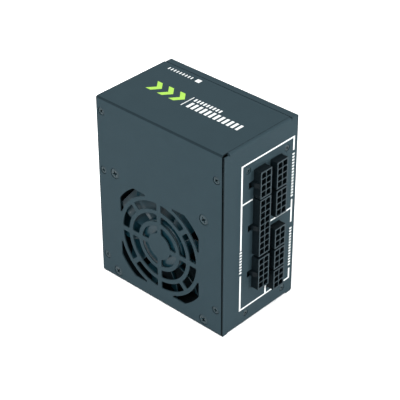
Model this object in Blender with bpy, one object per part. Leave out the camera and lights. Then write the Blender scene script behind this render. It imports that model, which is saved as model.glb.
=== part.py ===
"""A small-form-factor (SFX) modular power supply unit, standing on one short side.

The frame is in metres, +Z up. The origin is the middle of the side it stands on. The fan face looks along -Y,
the label side along +Y, the connector panel along +X and the mains panel along -X.
"""

import math

import bmesh
import bpy
from mathutils import Matrix, Vector
from mathutils.geometry import tessellate_polygon

MM = 0.001
X, Y, Z = Vector((1, 0, 0)), Vector((0, 1, 0)), Vector((0, 0, 1))

# Looks: name, colour, roughness and metallic value
PAINT = ("black_powder_coat", (0.05, 0.075, 0.09), 0.5)
SCREW_BLACK = ("black_screw", (0.03, 0.04, 0.045), 0.35, 0.6)
FAN_PLASTIC = ("fan_plastic", (0.03, 0.04, 0.045), 0.45)
SOCKET_PLASTIC = ("socket_plastic", (0.012, 0.013, 0.018), 0.5)
BOARD_GREEN = ("board_green", (0.02, 0.12, 0.05), 0.5)
STEEL = ("bright_steel", (0.6, 0.6, 0.6), 0.3, 1.0)
BRASS = ("blade_brass", (0.7, 0.6, 0.35), 0.3, 1.0)
COPPER = ("copper", (0.7, 0.3, 0.15), 0.35, 1.0)
ALUMINIUM = ("heatsink_aluminium", (0.6, 0.61, 0.63), 0.45, 1.0)
FERRITE = ("ferrite", (0.06, 0.06, 0.065), 0.7)
SLEEVE = ("capacitor_sleeve", (0.02, 0.03, 0.06), 0.35)
YELLOW = ("yellow_plastic", (0.75, 0.55, 0.05), 0.5)
FILM = ("insulation_film", (0.8, 0.8, 0.75), 0.4)
RUBBER = ("wire_insulation", (0.02, 0.02, 0.02), 0.6)

# Case: the SFX form factor's outer sizes, in 0.8 mm steel sheet
DEPTH = 100 * MM  # along X, from the mains panel to the connector panel
THICK = 63.5 * MM  # along Y, from the fan face to the label side
HEIGHT = 125 * MM  # along Z, the unit's width when it lies flat
SHEET = 0.8 * MM
BEND = 1.3 * MM  # outer radius of every bend
LAP = 0.15 * MM  # clearance between sheets that lap over each other
TOUCH = 0.1 * MM  # gap kept between pieces that touch
HALF = DEPTH / 2
FRONT = -THICK / 2
BACK = THICK / 2
FRONT_IN = FRONT + SHEET
BACK_IN = BACK - SHEET
TOP_IN = HEIGHT - SHEET
TOP_LAP = TOP_IN - LAP  # top of the base's flanges, under the cover's side

# Cover: one channel, made of the fan face and the two sides
COVER_END = BACK - 6.0 * MM  # back edge of the cover's sides
COVER_RIGHT = 48.0 * MM  # the sides stop 2 mm short of the connector panel
SEAM_TOP_X = 48.5 * MM  # the fan face's edge leans, so that the seam closes towards the bottom
SEAM_BOTTOM_X = 49.0 * MM

# Base: label side, two end panels, and a strip that wraps round to each side
STRIP_START = COVER_END + 0.6 * MM
LEDGE_START = COVER_END - 4.75 * MM
FLANGE = 6.0 * MM  # depth of the end panels' inner flanges
FLANGE_LOW_Y = FRONT + 5.0 * MM
FLANGE_HIGH_Y = COVER_END - 0.5 * MM
PANEL_SETBACK = 0.4 * MM  # the connector panel's front edge is this far behind the fan face
RELIEF = 0.9 * MM  # the end panels stop this far below their flanges' tops
JOGGLE_X = COVER_RIGHT + 0.25 * MM  # the connector panel's folds lie flush with the cover up to here
JOGGLE_CHAMFER = 0.6 * MM  # inside corner of those folds
LUG_GAP = 0.15 * MM  # the connector panel's lower front lug stops this far above the resting face
RELIEF_WIDTH = 0.5 * MM  # slot between a flange and the lug beside it
FLANGE_OVERLAP = 8.0 * MM  # how far a flange's foot runs down inside its panel
TAB_REACH = 3.6 * MM  # a screw tab ends this far past its hole
TAB_HALF = 4.5 * MM
TAB_HOLE = 1.9 * MM
TAB_HOLE_START, TAB_HOLE_DEPTH = FRONT_IN - 0.4 * MM, 2.0 * MM
BOSS_TOP, BOSS_FOOT, BOSS_HOLE = 2.9 * MM, 4.0 * MM, 1.4 * MM  # radii of a stand-off
BOSS_ROOT = 0.3 * MM  # how far it starts inside its sheet
BOSS_FLARE, BOSS_HOLE_DEPTH = 1.2 * MM, 4.2 * MM
STRIP_INSETS = (0.7 * MM, 0.1 * MM)  # the strips stop this far inside the mains and the connector panel
CUT = 3.0 * MM  # depth of a cutter that goes through one sheet
PAST = 1.0 * MM  # how far a cutter starts outside the face that it cuts
HIDDEN = 0.02 * MM  # keeps the faces of two fused sheets from coinciding

# Fan: a standard 80 mm axial fan, 15 mm thick
FAN_X = -0.75 * MM
FAN_Z = 41.2 * MM
FAN_SIZE = 80 * MM
FAN_DEPTH = 15 * MM
FAN_FRONT = FRONT_IN + 0.3 * MM
FAN_HOLES = 71.5 * MM  # hole spacing, both ways
FAN_BORE = 38.2 * MM
FAN_CORNER = 4.0 * MM
FAN_SCREW_HOLE = 2.15 * MM
BLADES = 11
FIRST_BLADE = -69  # angle of one blade's leading edge, in degrees from +X
HUB = 16.7 * MM
TIP = 37.2 * MM
BLADE_FRONT = 1.8 * MM  # the leading edges, behind the frame's front
BLADE_RUN = 9.2 * MM  # from the leading to the trailing edge, along the axis
ROOT_CHORD, TIP_CHORD = 30, 21  # degrees that a blade covers at the hub and at the tip
ROOT_THICK, TIP_THICK = 1.2 * MM, 0.8 * MM
ROOT_SUNK = 0.6 * MM  # how far a blade starts inside the hub's wall
TIP_LAG, MIDDLE_LEAD = 3, 5  # degrees that its tip falls behind the root, and that its middle runs ahead
CAMBER = 0.18  # how far it bulges along the axis, as a share of its run
NOSE = 1.0 * MM  # the hub's face, behind the frame's front
CUP_WALL = 1.2 * MM
CUP_DEPTH = 10.0 * MM
STRUT = 4.2 * MM
STRUT_DEPTH = 2.8 * MM  # of the struts and the motor base, along the axis
STRUT_TURN = 20  # degrees by which the struts are turned from upright
MOTOR_BASE = 17.6 * MM
SHAFT = 1.5 * MM
SHAFT_SPAN = (0.9 * MM, 10.9 * MM)  # from the hub's face
STATOR_POLE, STATOR_NECK, STATOR_BORE = 11.6 * MM, 6.0 * MM, 3.7 * MM
STATOR_BACK, STATOR_DEPTH = 11.0 * MM, 6.0 * MM
POLE_HALF = 38  # half of a pole's angle, in degrees

# Rings of the fan's motor: inner radius, outer radius, start and end along the axis
BEARING_TUBE = (2.75 * MM, 3.5 * MM, 2.0 * MM, 10.5 * MM)  # forwards from the frame's back
BUSH = (1.59 * MM, 2.6 * MM, 5.0 * MM, 12.0 * MM)  # back from the frame's front
MAGNET = (12.4 * MM, 15.3 * MM, 2.0 * MM, 9.5 * MM)  # back from the hub's face
SHAFT_SOCKET = (1.6 * MM, 3.2 * MM, 0.7 * MM, 3.0 * MM)  # back from the hub's face

# Grille: rings of slots cut in the fan face, (inner radius, outer radius, slots in the ring)
GRILLE_RINGS = [(8.8, 13.9, 4), (16.6, 22.1, 4), (24.7, 30.1, 8)]
CORNER_RING = (32.6, 38.1)
CORNER_CLIP = 32.0 * MM  # the corner slots end at a square of this half side
CORNER_IN = 19.5  # degrees from the slot's start to the nearer axis, along its inner arc
SPOKE = 3.0 * MM
SLOT_CORNER = 0.9 * MM

# Screws: head radius, head depth, shank radius, shank length, cross recess half length
COVER_SCREW = (2.45 * MM, 1.05 * MM, 1.4 * MM, 3.2 * MM, 1.35 * MM)
FAN_SCREW = (3.35 * MM, 0.75 * MM, 1.9 * MM, 8.0 * MM, 1.8 * MM)
PANEL_SCREW = (2.0 * MM, 0.75 * MM, 1.2 * MM, 3.6 * MM, 1.1 * MM)
HEAD_GAP = 0.15 * MM  # clearance round a countersunk head
HEAD_RIM = 0.15 * MM  # straight rim above its cone
HEAD_SINK = 0.12 * MM  # a countersunk head's top is this far below the surface
COVER_SCREWS = [(-46.0, 116.0), (-46.0, 75.5), (-45.6, 14.0), (44.5, 107.5), (44.5, 17.5)]

# Sockets of the connector panel: name, pin rows, column, height of the middle, side of the latch rib
SOCKET_DEPTH = 9.6 * MM
SOCKET_LENGTH = 12.8 * MM
SOCKET_PROUD = 5.0 * MM
PITCH = 4.2 * MM
CELL = 3.6 * MM
CELL_CHAMFER = 0.8 * MM
END_WALLS = 1.2 * MM  # a socket is this much longer than its rows' pitch
NEAR_COLUMN = -1.35 * MM  # the column of sockets towards the fan face
FAR_COLUMN = 12.9 * MM
LATCH_WIDTH = 3.4 * MM
LATCH_PROUD = 1.5 * MM
NOTCH_REACH, NOTCH_HALF = 4.4 * MM, 2.3 * MM  # the panel's notch beside each latch rib
SOCKET_GAP = 0.3 * MM
PIN = 0.55 * MM  # half width of a pin
PIN_SUNK = 3.5 * MM  # the pins' tips, below the sockets' faces
SOCKETS = [
    ("socket_8_pin_near", 4, NEAR_COLUMN, 96.0 * MM, -1),
    ("socket_18_pin_near", 9, NEAR_COLUMN, 66.7 * MM, -1),
    ("socket_10_pin_near", 5, NEAR_COLUMN, 34.2 * MM, -1),
    ("socket_8_pin_far_upper", 4, FAR_COLUMN, 96.0 * MM, 1),
    ("socket_8_pin_far_lower", 4, FAR_COLUMN, 76.7 * MM, 1),
    ("socket_6_pin_far_upper", 3, FAR_COLUMN, 52.2 * MM, 1),
    ("socket_6_pin_far_middle", 3, FAR_COLUMN, 37.2 * MM, 1),
    ("socket_6_pin_far_lower", 3, FAR_COLUMN, 22.2 * MM, 1),
]
SOCKET_BACK = HALF + SOCKET_PROUD - SOCKET_LENGTH
PANEL_SCREW_Y = (-11.15 * MM, 22.45 * MM)
PANEL_SCREW_Z = (6.7 * MM, 106.5 * MM)
BOARD = 1.6 * MM
MODULAR_FRONT = SOCKET_BACK - TOUCH  # face of the connector board, towards the sockets
MODULAR_LOW, MODULAR_HIGH = (-14.5 * MM, 3.5 * MM), (25.0 * MM, 110.0 * MM)
POST, POST_HOLE, POST_HOLE_DEPTH = 2.6 * MM, 1.45 * MM, 4.5 * MM
ROOTED = 0.5 * MM  # how far the pins and posts start inside the board

# Mains panel
INLET_Y = 4.0 * MM
INLET_Z = 98.0 * MM
SWITCH_Y = 4.0 * MM
SWITCH_Z = 71.0 * MM
INLET_FLANGE = (25.0 * MM, 31.5 * MM)
INLET_BODY = (20.0 * MM, 27.0 * MM)
INLET_CAVITY = (16.4 * MM, 24.0 * MM)
INLET_CORNER, INLET_CUT, CAVITY_CUT = 2.5 * MM, 5.0 * MM, 4.5 * MM
INLET_FLANGE_DEPTH, INLET_BODY_DEPTH, CAVITY_DEPTH = 2.0 * MM, 22.0 * MM, 18.5 * MM
INLET_BLADE_X = (-47.5 * MM, -26.0 * MM)
INLET_BLADE_HALF = (2.0 * MM, 1.0 * MM)
INLET_SLOT_START, INLET_SLOT_END = 15.0 * MM, -20.0 * MM  # the blades' slots in the inlet's back wall
BLADE_SLACK = 0.15 * MM
INLET_BLADES = {"earth": (2.0, 0.0), "live": (-2.0, 7.0), "neutral": (-2.0, -7.0)}
SWITCH_FLANGE = (21.5 * MM, 15.0 * MM)
SWITCH_BODY = (19.0 * MM, 12.8 * MM)
SWITCH_WELL = (17.0 * MM, 10.3 * MM)
SWITCH_CORNER = 1.5 * MM
SWITCH_FLANGE_DEPTH, SWITCH_BODY_DEPTH, WELL_DEPTH = 1.6 * MM, 15.0 * MM, 10.0 * MM
SNAP_GAP = 0.6 * MM  # a snap-in body's opening is this much wider than the body
ROCKER_TILT = math.radians(11)
ROCKER_SIDE = [  # the rocker's section: along the panel, and out of it
    (-7.8, 2.8),
    (-3.9, 1.75),
    (0, 1.3),
    (3.9, 1.75),
    (7.8, 2.8),
    (7.6, 0),
    (4.4, -4.4),
    (-4.4, -4.4),
    (-7.6, 0),
]
ROCKER_HALF = 4.9 * MM
PIVOT_X = -49.5 * MM
PIN_RADIUS, SEAT_RADIUS = 1.2 * MM, 1.29 * MM
PIN_HALF, SEAT_HALF = 5.7 * MM, 5.9 * MM
MOUNT_HOLES = (51.5 * MM, 113.0 * MM)  # spacing of the four case screws, along Y and Z
MOUNT_HOLE = 1.75 * MM
VENT_PITCH = 7.4 * MM
VENT_HOLE = 3.2 * MM
VENT_ROWS = 6
VENT_LOW_Z = 8.5 * MM

# Main board, parallel to the label side
MAIN_BOARD_BACK = 26.3 * MM
MAIN_BOARD_FACE = MAIN_BOARD_BACK - BOARD
PARTS_Y = MAIN_BOARD_FACE - TOUCH  # feet of the parts that stand on the board
MAIN_BOARD_LOW, MAIN_BOARD_HIGH = (-45.0 * MM, 6.0 * MM), (37.0 * MM, 119.0 * MM)
INSULATION_LOW, INSULATION_HIGH = (-47.0 * MM, 4.0 * MM), (40.0 * MM, 121.0 * MM)
INSULATION_BACK, INSULATION = 29.2 * MM, 0.4 * MM
BOARD_HOLE, INSULATION_HOLE = 1.5 * MM, 4.6 * MM
BOSSES = [(-41.0, 12.0), (33.0, 12.0), (-41.0, 114.0), (33.0, 114.0)]
BOARD_SCREW = (2.6 * MM, 1.6 * MM, 1.2 * MM, 5.5 * MM, 1.3 * MM)  # in the order of the other screws' sizes
BUS_BARS = {"bus_bar_positive": 72, "bus_bar_return": 84}
BUS_WIDTH = 9
BUS_SECTION = [  # (x, y), where None is the main board's face
    (35.0, None),
    (36.2, None),
    (36.2, 17.2),
    (40.2, 17.2),
    (40.2, 16.0),
    (35.0, 16.0),
]
LEADS = {
    "fan_lead": (1.1, [(-19, -14.2, 19), (-27, -12.5, 15), (-30, -4, 13), (-30, 10, 13), (-30, 24, 13)]),
    "live_lead": (
        1.2,
        [(-25.5, 2, 105), (-20, 2, 104), (-17.5, 1.5, 96), (-17.5, 1, 82), (-24, 2, 73), (-34.5, 3, 71)],
    ),
    "neutral_lead": (1.2, [(-25.5, 2, 91), (-21.5, 3.5, 91), (-20, 10, 91), (-20, 17, 91), (-20, 24, 91)]),
}


# Parts that stand on the main board, in mm, where None is the main board's face
BLOCKS = [  # name, low corner, high corner, look
    ("transformer_winding", (-11, -6, 36), (11, None, 52), COPPER),
    ("x_capacitor", (-44, 15.5, 88), (-26, None, 106), YELLOW),
    ("bridge_rectifier", (-32.5, -2, 40), (-28.5, 20, 60), FERRITE),
    ("power_transistor_1", (-32.5, 0, 26), (-28.0, 17, 36), FERRITE),
    ("power_transistor_2", (16.0, 0, 34), (18.6, 17, 44), FERRITE),
]
BLOCK_EDGE = 0.6 * MM
CAPACITORS = [  # name, x, z, radius, height, sides
    ("bulk_capacitor", 22.5, 101.5, 12.5, 38, 24),
    ("output_capacitor_1", 32.0, 62.0, 4.0, 18, 16),
    ("output_capacitor_2", 32.0, 50.0, 4.0, 18, 16),
]
GROOVE_LOW, GROOVE, GROOVE_HIGH = 1.6 * MM, 2.4 * MM, 3.2 * MM  # heights of a capacitor's crimp
GROOVE_SHARE = 0.93  # the crimp's radius, as a share of the can's
CAN_EDGE = 0.8 * MM
HEATSINKS = [  # name, x, low end, high end, fins, side of the fins
    ("primary_heatsink", -33.0, 22, 62, 7, -1),
    ("secondary_heatsink", 19.0, 22, 70, 8, 1),
]
HEATSINK_TOP = -11.0 * MM
HEATSINK_PLATE, HEATSINK_FIN = 2.5 * MM, 5.0 * MM
CHOKES = [  # name, x, height of the middle above the board, z, axis, radius of the ring, radius of its tube
    ("pfc_choke", -22, 6.6, 74, Y, 8.2, 4.6),
    ("filter_choke", -6, 12.5, 100, X, 7.5, 4.0),
]
CHOKE_TURNS = 12
WIRE_SWELL = 0.35 * MM
CORE_Z = 44 * MM
CORE_SIZE, CORE_WINDOW, CORE_DEPTH = (31 * MM, 27 * MM), (22.6 * MM, 16.6 * MM), 22 * MM
CORE_RISE = 2.0 * MM  # the core stands this far off the winding's foot


# ---------------------------------------------------------------- shapes


def material(name, colour, roughness, metallic=0.0):
    """A Principled material, made once for each name."""
    found = bpy.data.materials.get(name)
    if found:
        return found
    made = bpy.data.materials.new(name)
    made.use_nodes = True
    shader = made.node_tree.nodes["Principled BSDF"]
    shader.inputs["Base Color"].default_value = (*colour, 1)
    shader.inputs["Roughness"].default_value = roughness
    shader.inputs["Metallic"].default_value = metallic
    made.diffuse_color = (*colour, 1)
    return made


def shown(name, mesh, look, smooth_angle=math.radians(32)):
    """A new object from a mesh, smooth where its faces meet at less than smooth_angle."""
    made = bpy.data.objects.new(name, mesh)
    if not mesh.materials:
        mesh.materials.append(look)
    mesh.shade_smooth()
    mesh.set_sharp_from_angle(angle=smooth_angle)
    bpy.context.scene.collection.objects.link(made)
    return made


def finished(bm, name):
    """Turns a bmesh into a mesh with its faces pointing out."""
    bmesh.ops.recalc_face_normals(bm, faces=bm.faces)
    mesh = bpy.data.meshes.new(name)
    bm.to_mesh(mesh)
    bm.free()
    return mesh


def slab_mesh(outline, thickness, origin, u, v, holes=()):
    """A flat piece: the outline and holes are points along u and v from origin, and it runs along u x v."""
    loops = [outline, *holes]
    faces = tessellate_polygon([[Vector((a, b, 0)) for a, b in loop] for loop in loops])
    bm = bmesh.new()
    low = [bm.verts.new(Vector(origin) + u * a + v * b) for loop in loops for a, b in loop]
    high = [bm.verts.new(vert.co + u.cross(v) * thickness) for vert in low]
    for a, b, c in faces:
        bm.faces.new((high[a], high[b], high[c]))
        bm.faces.new((low[c], low[b], low[a]))
    start = 0
    for loop in loops:
        for i in range(len(loop)):
            a, b = start + i, start + (i + 1) % len(loop)
            bm.faces.new((low[a], low[b], high[b], high[a]))
        start += len(loop)
    return finished(bm, "slab")


def box_mesh(low, high):
    """A box between two corners."""
    low, high = Vector(low), Vector(high)
    bm = bmesh.new()
    size = Matrix.Diagonal((*(high - low), 1))
    bmesh.ops.create_cube(bm, size=1, matrix=Matrix.Translation((low + high) / 2) @ size)
    return finished(bm, "box")


def turned_mesh(profile, origin, axis, segments):
    """A turned solid. Its profile is (radius, distance along axis): from axis to axis, or a closed loop."""
    turn = axis.to_track_quat("Z", "Y")
    bm = bmesh.new()
    rings = []
    for radius, along in profile:
        count = segments if radius > 0 else 1
        ring = []
        for i in range(count):
            angle = 2 * math.pi * i / segments
            spoke = Vector((radius * math.cos(angle), radius * math.sin(angle), along))
            ring.append(bm.verts.new(Vector(origin) + turn @ spoke))
        rings.append(ring)
    pairs = list(zip(rings, rings[1:]))
    if profile[0][0] > 0:
        pairs.append((rings[-1], rings[0]))
    for a, b in pairs:
        for i in range(segments):
            j = (i + 1) % segments
            corners = [a[i % len(a)], a[j % len(a)], b[j % len(b)], b[i % len(b)]]
            bm.faces.new(dict.fromkeys(corners))
    return finished(bm, "turned")


def joined_mesh(meshes):
    """Several meshes as one, such as the cutters of many holes."""
    bm = bmesh.new()
    for mesh in meshes:
        bm.from_mesh(mesh)
    return finished(bm, "joined")


def combine(target, mesh, operation):
    """Adds a Boolean to the target, with the mesh as a helper that isn't rendered."""
    helper = bpy.data.objects.new(target.name + "_" + operation.lower(), mesh)
    bpy.context.scene.collection.objects.link(helper)
    helper.hide_render = True
    helper.display_type = "WIRE"
    modifier = target.modifiers.new(helper.name, "BOOLEAN")
    modifier.operation = operation
    modifier.solver = "EXACT"
    modifier.object = helper


def baked_mesh(target):
    """The target's mesh with its modifiers applied, for copies to share. The target itself goes."""
    graph = bpy.context.evaluated_depsgraph_get()
    mesh = bpy.data.meshes.new_from_object(target.evaluated_get(graph))
    helpers = [m.object for m in target.modifiers]
    for gone in [target, *helpers]:
        bpy.data.objects.remove(gone)
    return mesh


def arc(centre, radius, start, end, steps):
    """Points of an arc from one angle to another, both in degrees, ends included."""
    angles = [math.radians(start + (end - start) * i / steps) for i in range(steps + 1)]
    return [(centre[0] + radius * math.cos(a), centre[1] + radius * math.sin(a)) for a in angles]


def circle(centre, radius, segments):
    return arc(centre, radius, 0, 360 * (1 - 1 / segments), segments - 1)


def ring_profile(inner, outer, low, high):
    """A turned ring's section, for turned_mesh."""
    return [(inner, low), (outer, low), (outer, high), (inner, high)]


def between(low, high):
    """A rectangle's outline between two corners."""
    return [low, (high[0], low[1]), high, (low[0], high[1])]


def rectangle(centre, width, height, corner=0.0, steps=3):
    """A rectangle's outline, anticlockwise, with round corners where corner isn't 0."""
    points = []
    for quarter, (sx, sy) in enumerate([(1, 1), (-1, 1), (-1, -1), (1, -1)]):
        middle = (centre[0] + sx * (width / 2 - corner), centre[1] + sy * (height / 2 - corner))
        if corner:
            points += arc(middle, corner, 90 * quarter, 90 * quarter + 90, steps)
        else:
            points.append(middle)
    return points


def channel(reach_low, reach_high, low, high, back, radius=BEND, steps=3):
    """A bent channel's section: two walls at low and high, joined by a web at back, all one sheet thick.

    Its points are (a, b): the web is at a = back, and the walls run from it to reach_low and reach_high.
    """
    side = 1 if reach_low > back else -1
    inner = radius - SHEET
    web = back + side * radius
    facing = 180 if side > 0 else 0
    turn = side * 90
    outer_low = arc((web, low + radius), radius, facing + turn, facing, steps)
    outer_high = arc((web, high - radius), radius, facing, facing - turn, steps)
    inner_high = arc((web, high - radius), inner, facing - turn, facing, steps)
    inner_low = arc((web, low + radius), inner, facing, facing + turn, steps)
    outside = [(reach_low, low), *outer_low, *outer_high, (reach_high, high)]
    inside = [(reach_high, high - SHEET), *inner_high, *inner_low, (reach_low, low + SHEET)]
    return outside + inside


# ---------------------------------------------------------------- screws


def screw_mesh(sizes, segments, countersunk=True):
    """A cross-head screw. Its head's top is at the origin, and its shank runs along +Z."""
    head, depth, shank, length, reach = sizes
    if countersunk:
        profile = [(0, 0), (head, 0), (head, HEAD_RIM), (shank, depth), (shank, length), (0, length)]
    else:
        profile = [(0, 0), (head * 0.75, 0), (head, depth * 0.5), (head, depth)]
        profile += [(shank, depth), (shank, length), (0, length)]
    body = shown("screw", turned_mesh(profile, (0, 0, 0), Z, segments), material(*SCREW_BLACK))
    arm = reach * 0.3
    cross = []
    tip = arm * 0.75  # each wing narrows towards its end
    for sx, sy in [(1, 1), (-1, 1), (-1, -1), (1, -1)]:
        corner = [(sx * reach, sy * tip), (sx * arm, sy * arm), (sx * tip, sy * reach)]
        cross += corner if sx * sy > 0 else corner[::-1]
    deep = min(depth * 0.8, 0.8 * MM)
    recess = slab_mesh(cross, deep + PAST, (0, 0, -PAST), X, Y)
    combine(body, recess, "DIFFERENCE")
    return baked_mesh(body)


def place_screws(prefix, mesh, spots, into):
    """Copies of a screw at these spots, each with its shank along into."""
    for number, spot in enumerate(spots, 1):
        copy = shown(f"{prefix}_{number}", mesh, material(*SCREW_BLACK))
        copy.location = spot
        copy.rotation_mode = "QUATERNION"
        copy.rotation_quaternion = into.to_track_quat("Z", "Y")


def make_screws():
    sunk = FRONT + HEAD_SINK
    spots = [(x * MM, sunk, z * MM) for x, z in COVER_SCREWS]
    place_screws("cover_screw", screw_mesh(COVER_SCREW, 10), spots, Y)
    spots = [(x, sunk, z) for x, z in fan_hole_centres()]
    place_screws("fan_screw", screw_mesh(FAN_SCREW, 14), spots, Y)
    spots = [(HALF - HEAD_SINK, y, z) for y in PANEL_SCREW_Y for z in PANEL_SCREW_Z]
    place_screws("panel_screw", screw_mesh(PANEL_SCREW, 8), spots, -X)
    spots = [(x * MM, MAIN_BOARD_FACE - BOARD_SCREW[1] - TOUCH, z * MM) for x, z in BOSSES]
    place_screws("board_screw", screw_mesh(BOARD_SCREW, 8, countersunk=False), spots, Y)


def fan_hole_centres():
    half = FAN_HOLES / 2
    return [(FAN_X + sx * half, FAN_Z + sz * half) for sx in (-1, 1) for sz in (-1, 1)]


def countersink_mesh(sizes, spot, into):
    """The cutter of a countersunk hole, a little wider than its screw's head."""
    head, depth, shank = sizes[:3]
    wide, narrow = head + HEAD_GAP, shank + HEAD_GAP
    deep = 2 * MM
    profile = [(0, -PAST), (wide, -PAST), (wide, HEAD_RIM), (narrow, depth), (narrow, deep), (0, deep)]
    return turned_mesh(profile, spot, into, 14)


# ---------------------------------------------------------------- the two shells


def ring_slot(inner, outer, middle_angle, span, spoke):
    """A slot of a ring, round the fan's axis: an arc band with ends parallel to the spokes, corners eased."""
    points = []
    steps = max(3, round(span / 12))
    for radius, sign in ((inner, 1), (outer, -1)):
        trim = math.degrees(math.asin((spoke / 2 + SLOT_CORNER) / radius))
        low, high = middle_angle - span / 2 + trim, middle_angle + span / 2 - trim
        side = arc((0, 0), radius, low, high, steps)
        ease = radius + sign * SLOT_CORNER
        trim = math.degrees(math.asin(spoke / 2 / ease))
        low, high = middle_angle - span / 2 + trim, middle_angle + span / 2 - trim
        first, last = arc((0, 0), ease, low, high, 1)
        run = [first, *side, last]
        points += run if sign > 0 else run[::-1]
    return points


def corner_slot(quarter):
    """A slot of the outer ring, clipped by the square round the grille."""
    inner, outer = (r * MM for r in CORNER_RING)
    edge_out = math.degrees(math.acos(CORNER_CLIP / outer))
    steps = 5
    start = math.sin(math.radians(CORNER_IN)) * inner
    points = arc((0, 0), outer, edge_out, 90 - edge_out, steps)
    points.append((start, CORNER_CLIP))
    points += arc((0, 0), inner, 90 - CORNER_IN, CORNER_IN, steps)
    points.append((CORNER_CLIP, start))
    turn = Matrix.Rotation(math.radians(90 * quarter), 2)
    return [tuple(turn @ Vector(p)) for p in points]


def grille_cutters():
    """The grille's slots as prisms through the fan face."""
    outlines = []
    for inner, outer, count in GRILLE_RINGS:
        span = 360 / count
        for i in range(count):
            outlines.append(ring_slot(inner * MM, outer * MM, span * (i + 0.5), span, SPOKE))
    outlines += [corner_slot(quarter) for quarter in range(4)]
    start = (FAN_X, FRONT - PAST, FAN_Z)
    return [slab_mesh([(b, a) for a, b in outline][::-1], CUT, start, Z, X) for outline in outlines]


def make_fan_cover():
    """The channel that holds the fan, with its grille and countersunk holes."""
    section = channel(COVER_END, COVER_END, 0, HEIGHT, FRONT)
    mesh = slab_mesh(section, DEPTH, (-HALF, 0, 0), Y, Z)
    cover = shown("fan_cover", mesh, material(*PAINT))
    behind_bend = FRONT + BEND
    trims = [box_mesh((COVER_RIGHT, behind_bend, -PAST), (HALF + PAST, BACK, HEIGHT + PAST))]
    high = HEIGHT + PAST
    lean = [(-PAST, SEAM_BOTTOM_X), (-PAST, HALF + PAST), (high, HALF + PAST), (high, SEAM_TOP_X)]
    trims.append(slab_mesh(lean, CUT, (0, FRONT - PAST, 0), Z, X))
    for trim in trims:
        combine(cover, trim, "DIFFERENCE")
    holes = grille_cutters()
    sunk = FRONT + HEAD_SINK
    holes += [countersink_mesh(COVER_SCREW, (x * MM, sunk, z * MM), Y) for x, z in COVER_SCREWS]
    holes += [countersink_mesh(FAN_SCREW, (x, sunk, z), Y) for x, z in fan_hole_centres()]
    combine(cover, joined_mesh(holes), "DIFFERENCE")


def panel_flange(side, top):
    """The bent flange of an end panel's upper or lower edge, as an L that runs along Y.

    The mains panel's flange is a plain bend under the cover's side. The connector panel's stands past the
    cover's side, so its fold lies flush with the cover and then steps down under it.
    """
    edge = TOP_LAP if top else HEIGHT - TOP_LAP
    step = -1 if top else 1
    wall = side * (HALF - HIDDEN)
    foot = (wall, edge + step * FLANGE_OVERLAP)
    inner_wall = wall - side * (SHEET - 2 * HIDDEN)
    tip = wall - side * (SHEET + FLANGE)
    under = edge + step * SHEET
    if side > 0:
        fold = HEIGHT if top else 0
        bend = arc((wall - BEND, fold + step * BEND), BEND, 0, 90 if top else -90, 3)
        outline = [foot, *bend, (JOGGLE_X, fold), (JOGGLE_X, edge), (tip, edge), (tip, under)]
        outline += [(inner_wall - JOGGLE_CHAMFER, under), (inner_wall, under + step * JOGGLE_CHAMFER)]
    else:
        centre = (wall + BEND, edge + step * BEND)
        flat = 90 if top else 270
        outline = [foot, *arc(centre, BEND, 180, flat, 3), (tip, edge), (tip, under)]
        outline += arc(centre, BEND - SHEET, flat, 180, 3)
    outline.append((inner_wall, foot[1]))
    across = FLANGE_HIGH_Y - FLANGE_LOW_Y
    return slab_mesh([(b, a) for a, b in outline], across, (0, FLANGE_LOW_Y, 0), Z, X)


def screw_tab(x, z):
    """A tab under the cover that takes one of its screws, bent in from the nearer end panel."""
    side = 1 if x > 0 else -1
    wall = side * (HALF - SHEET / 2)
    reach = x - side * TAB_REACH
    top = FRONT_IN + LAP
    low = (min(wall, reach), top, z - TAB_HALF)
    high = (max(wall, reach), top + SHEET, z + TAB_HALF)
    return box_mesh(low, high)


def corner_lugs():
    """The end panels' corners that stand past the relief: one beside the cover, one that meets the strip."""
    lugs = []
    for side in (-1, 1):
        faces = sorted((side * (HALF - HIDDEN), side * (HALF - SHEET + HIDDEN)))
        front = FRONT + PANEL_SETBACK if side > 0 else FRONT_IN + LAP
        under_cover, beside_strip = TOP_LAP - LAP, TOP_IN + LAP
        front_foot = LUG_GAP if side > 0 else HEIGHT - under_cover
        spans = [
            (front + HIDDEN, FLANGE_LOW_Y - RELIEF_WIDTH, front_foot, under_cover),
            (STRIP_START + HIDDEN, BACK - BEND, HEIGHT - beside_strip, beside_strip),
        ]
        for low_y, high_y, bottom, top in spans:
            for low_z, high_z in ((TOP_LAP - BEND, top), (bottom, HEIGHT - TOP_LAP + BEND)):
                lugs.append(box_mesh((faces[0], low_y, low_z), (faces[1], high_y, high_z)))
    return lugs


def boss(x, z):
    """A pressed stand-off for the main board."""
    foot = BACK_IN + BOSS_ROOT
    tall = foot - MAIN_BOARD_BACK - TOUCH
    floor = tall - BOSS_HOLE_DEPTH
    profile = [(0, 0), (BOSS_FOOT, 0), (BOSS_TOP, BOSS_FLARE), (BOSS_TOP, tall)]
    profile += [(BOSS_HOLE, tall), (BOSS_HOLE, floor), (0, floor)]
    return turned_mesh(profile, (x, foot, z), -Y, 8)


def panel_opening(y0, y1, z0, z1):
    return box_mesh((HALF - CUT, y0, z0), (HALF + PAST, y1, z1))


def socket_cutouts():
    """Openings of the connector panel, one for each run of sockets."""
    half = SOCKET_DEPTH / 2 + SOCKET_GAP
    openings = []
    for run in (SOCKETS[0:2], SOCKETS[2:3], SOCKETS[3:5], SOCKETS[5:8]):
        column = run[0][2]
        top = run[0][3] + socket_height(run[0][1]) / 2 + SOCKET_GAP
        bottom = run[-1][3] - socket_height(run[-1][1]) / 2 - SOCKET_GAP
        openings.append(panel_opening(column - half, column + half, bottom, top))
    return openings


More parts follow.
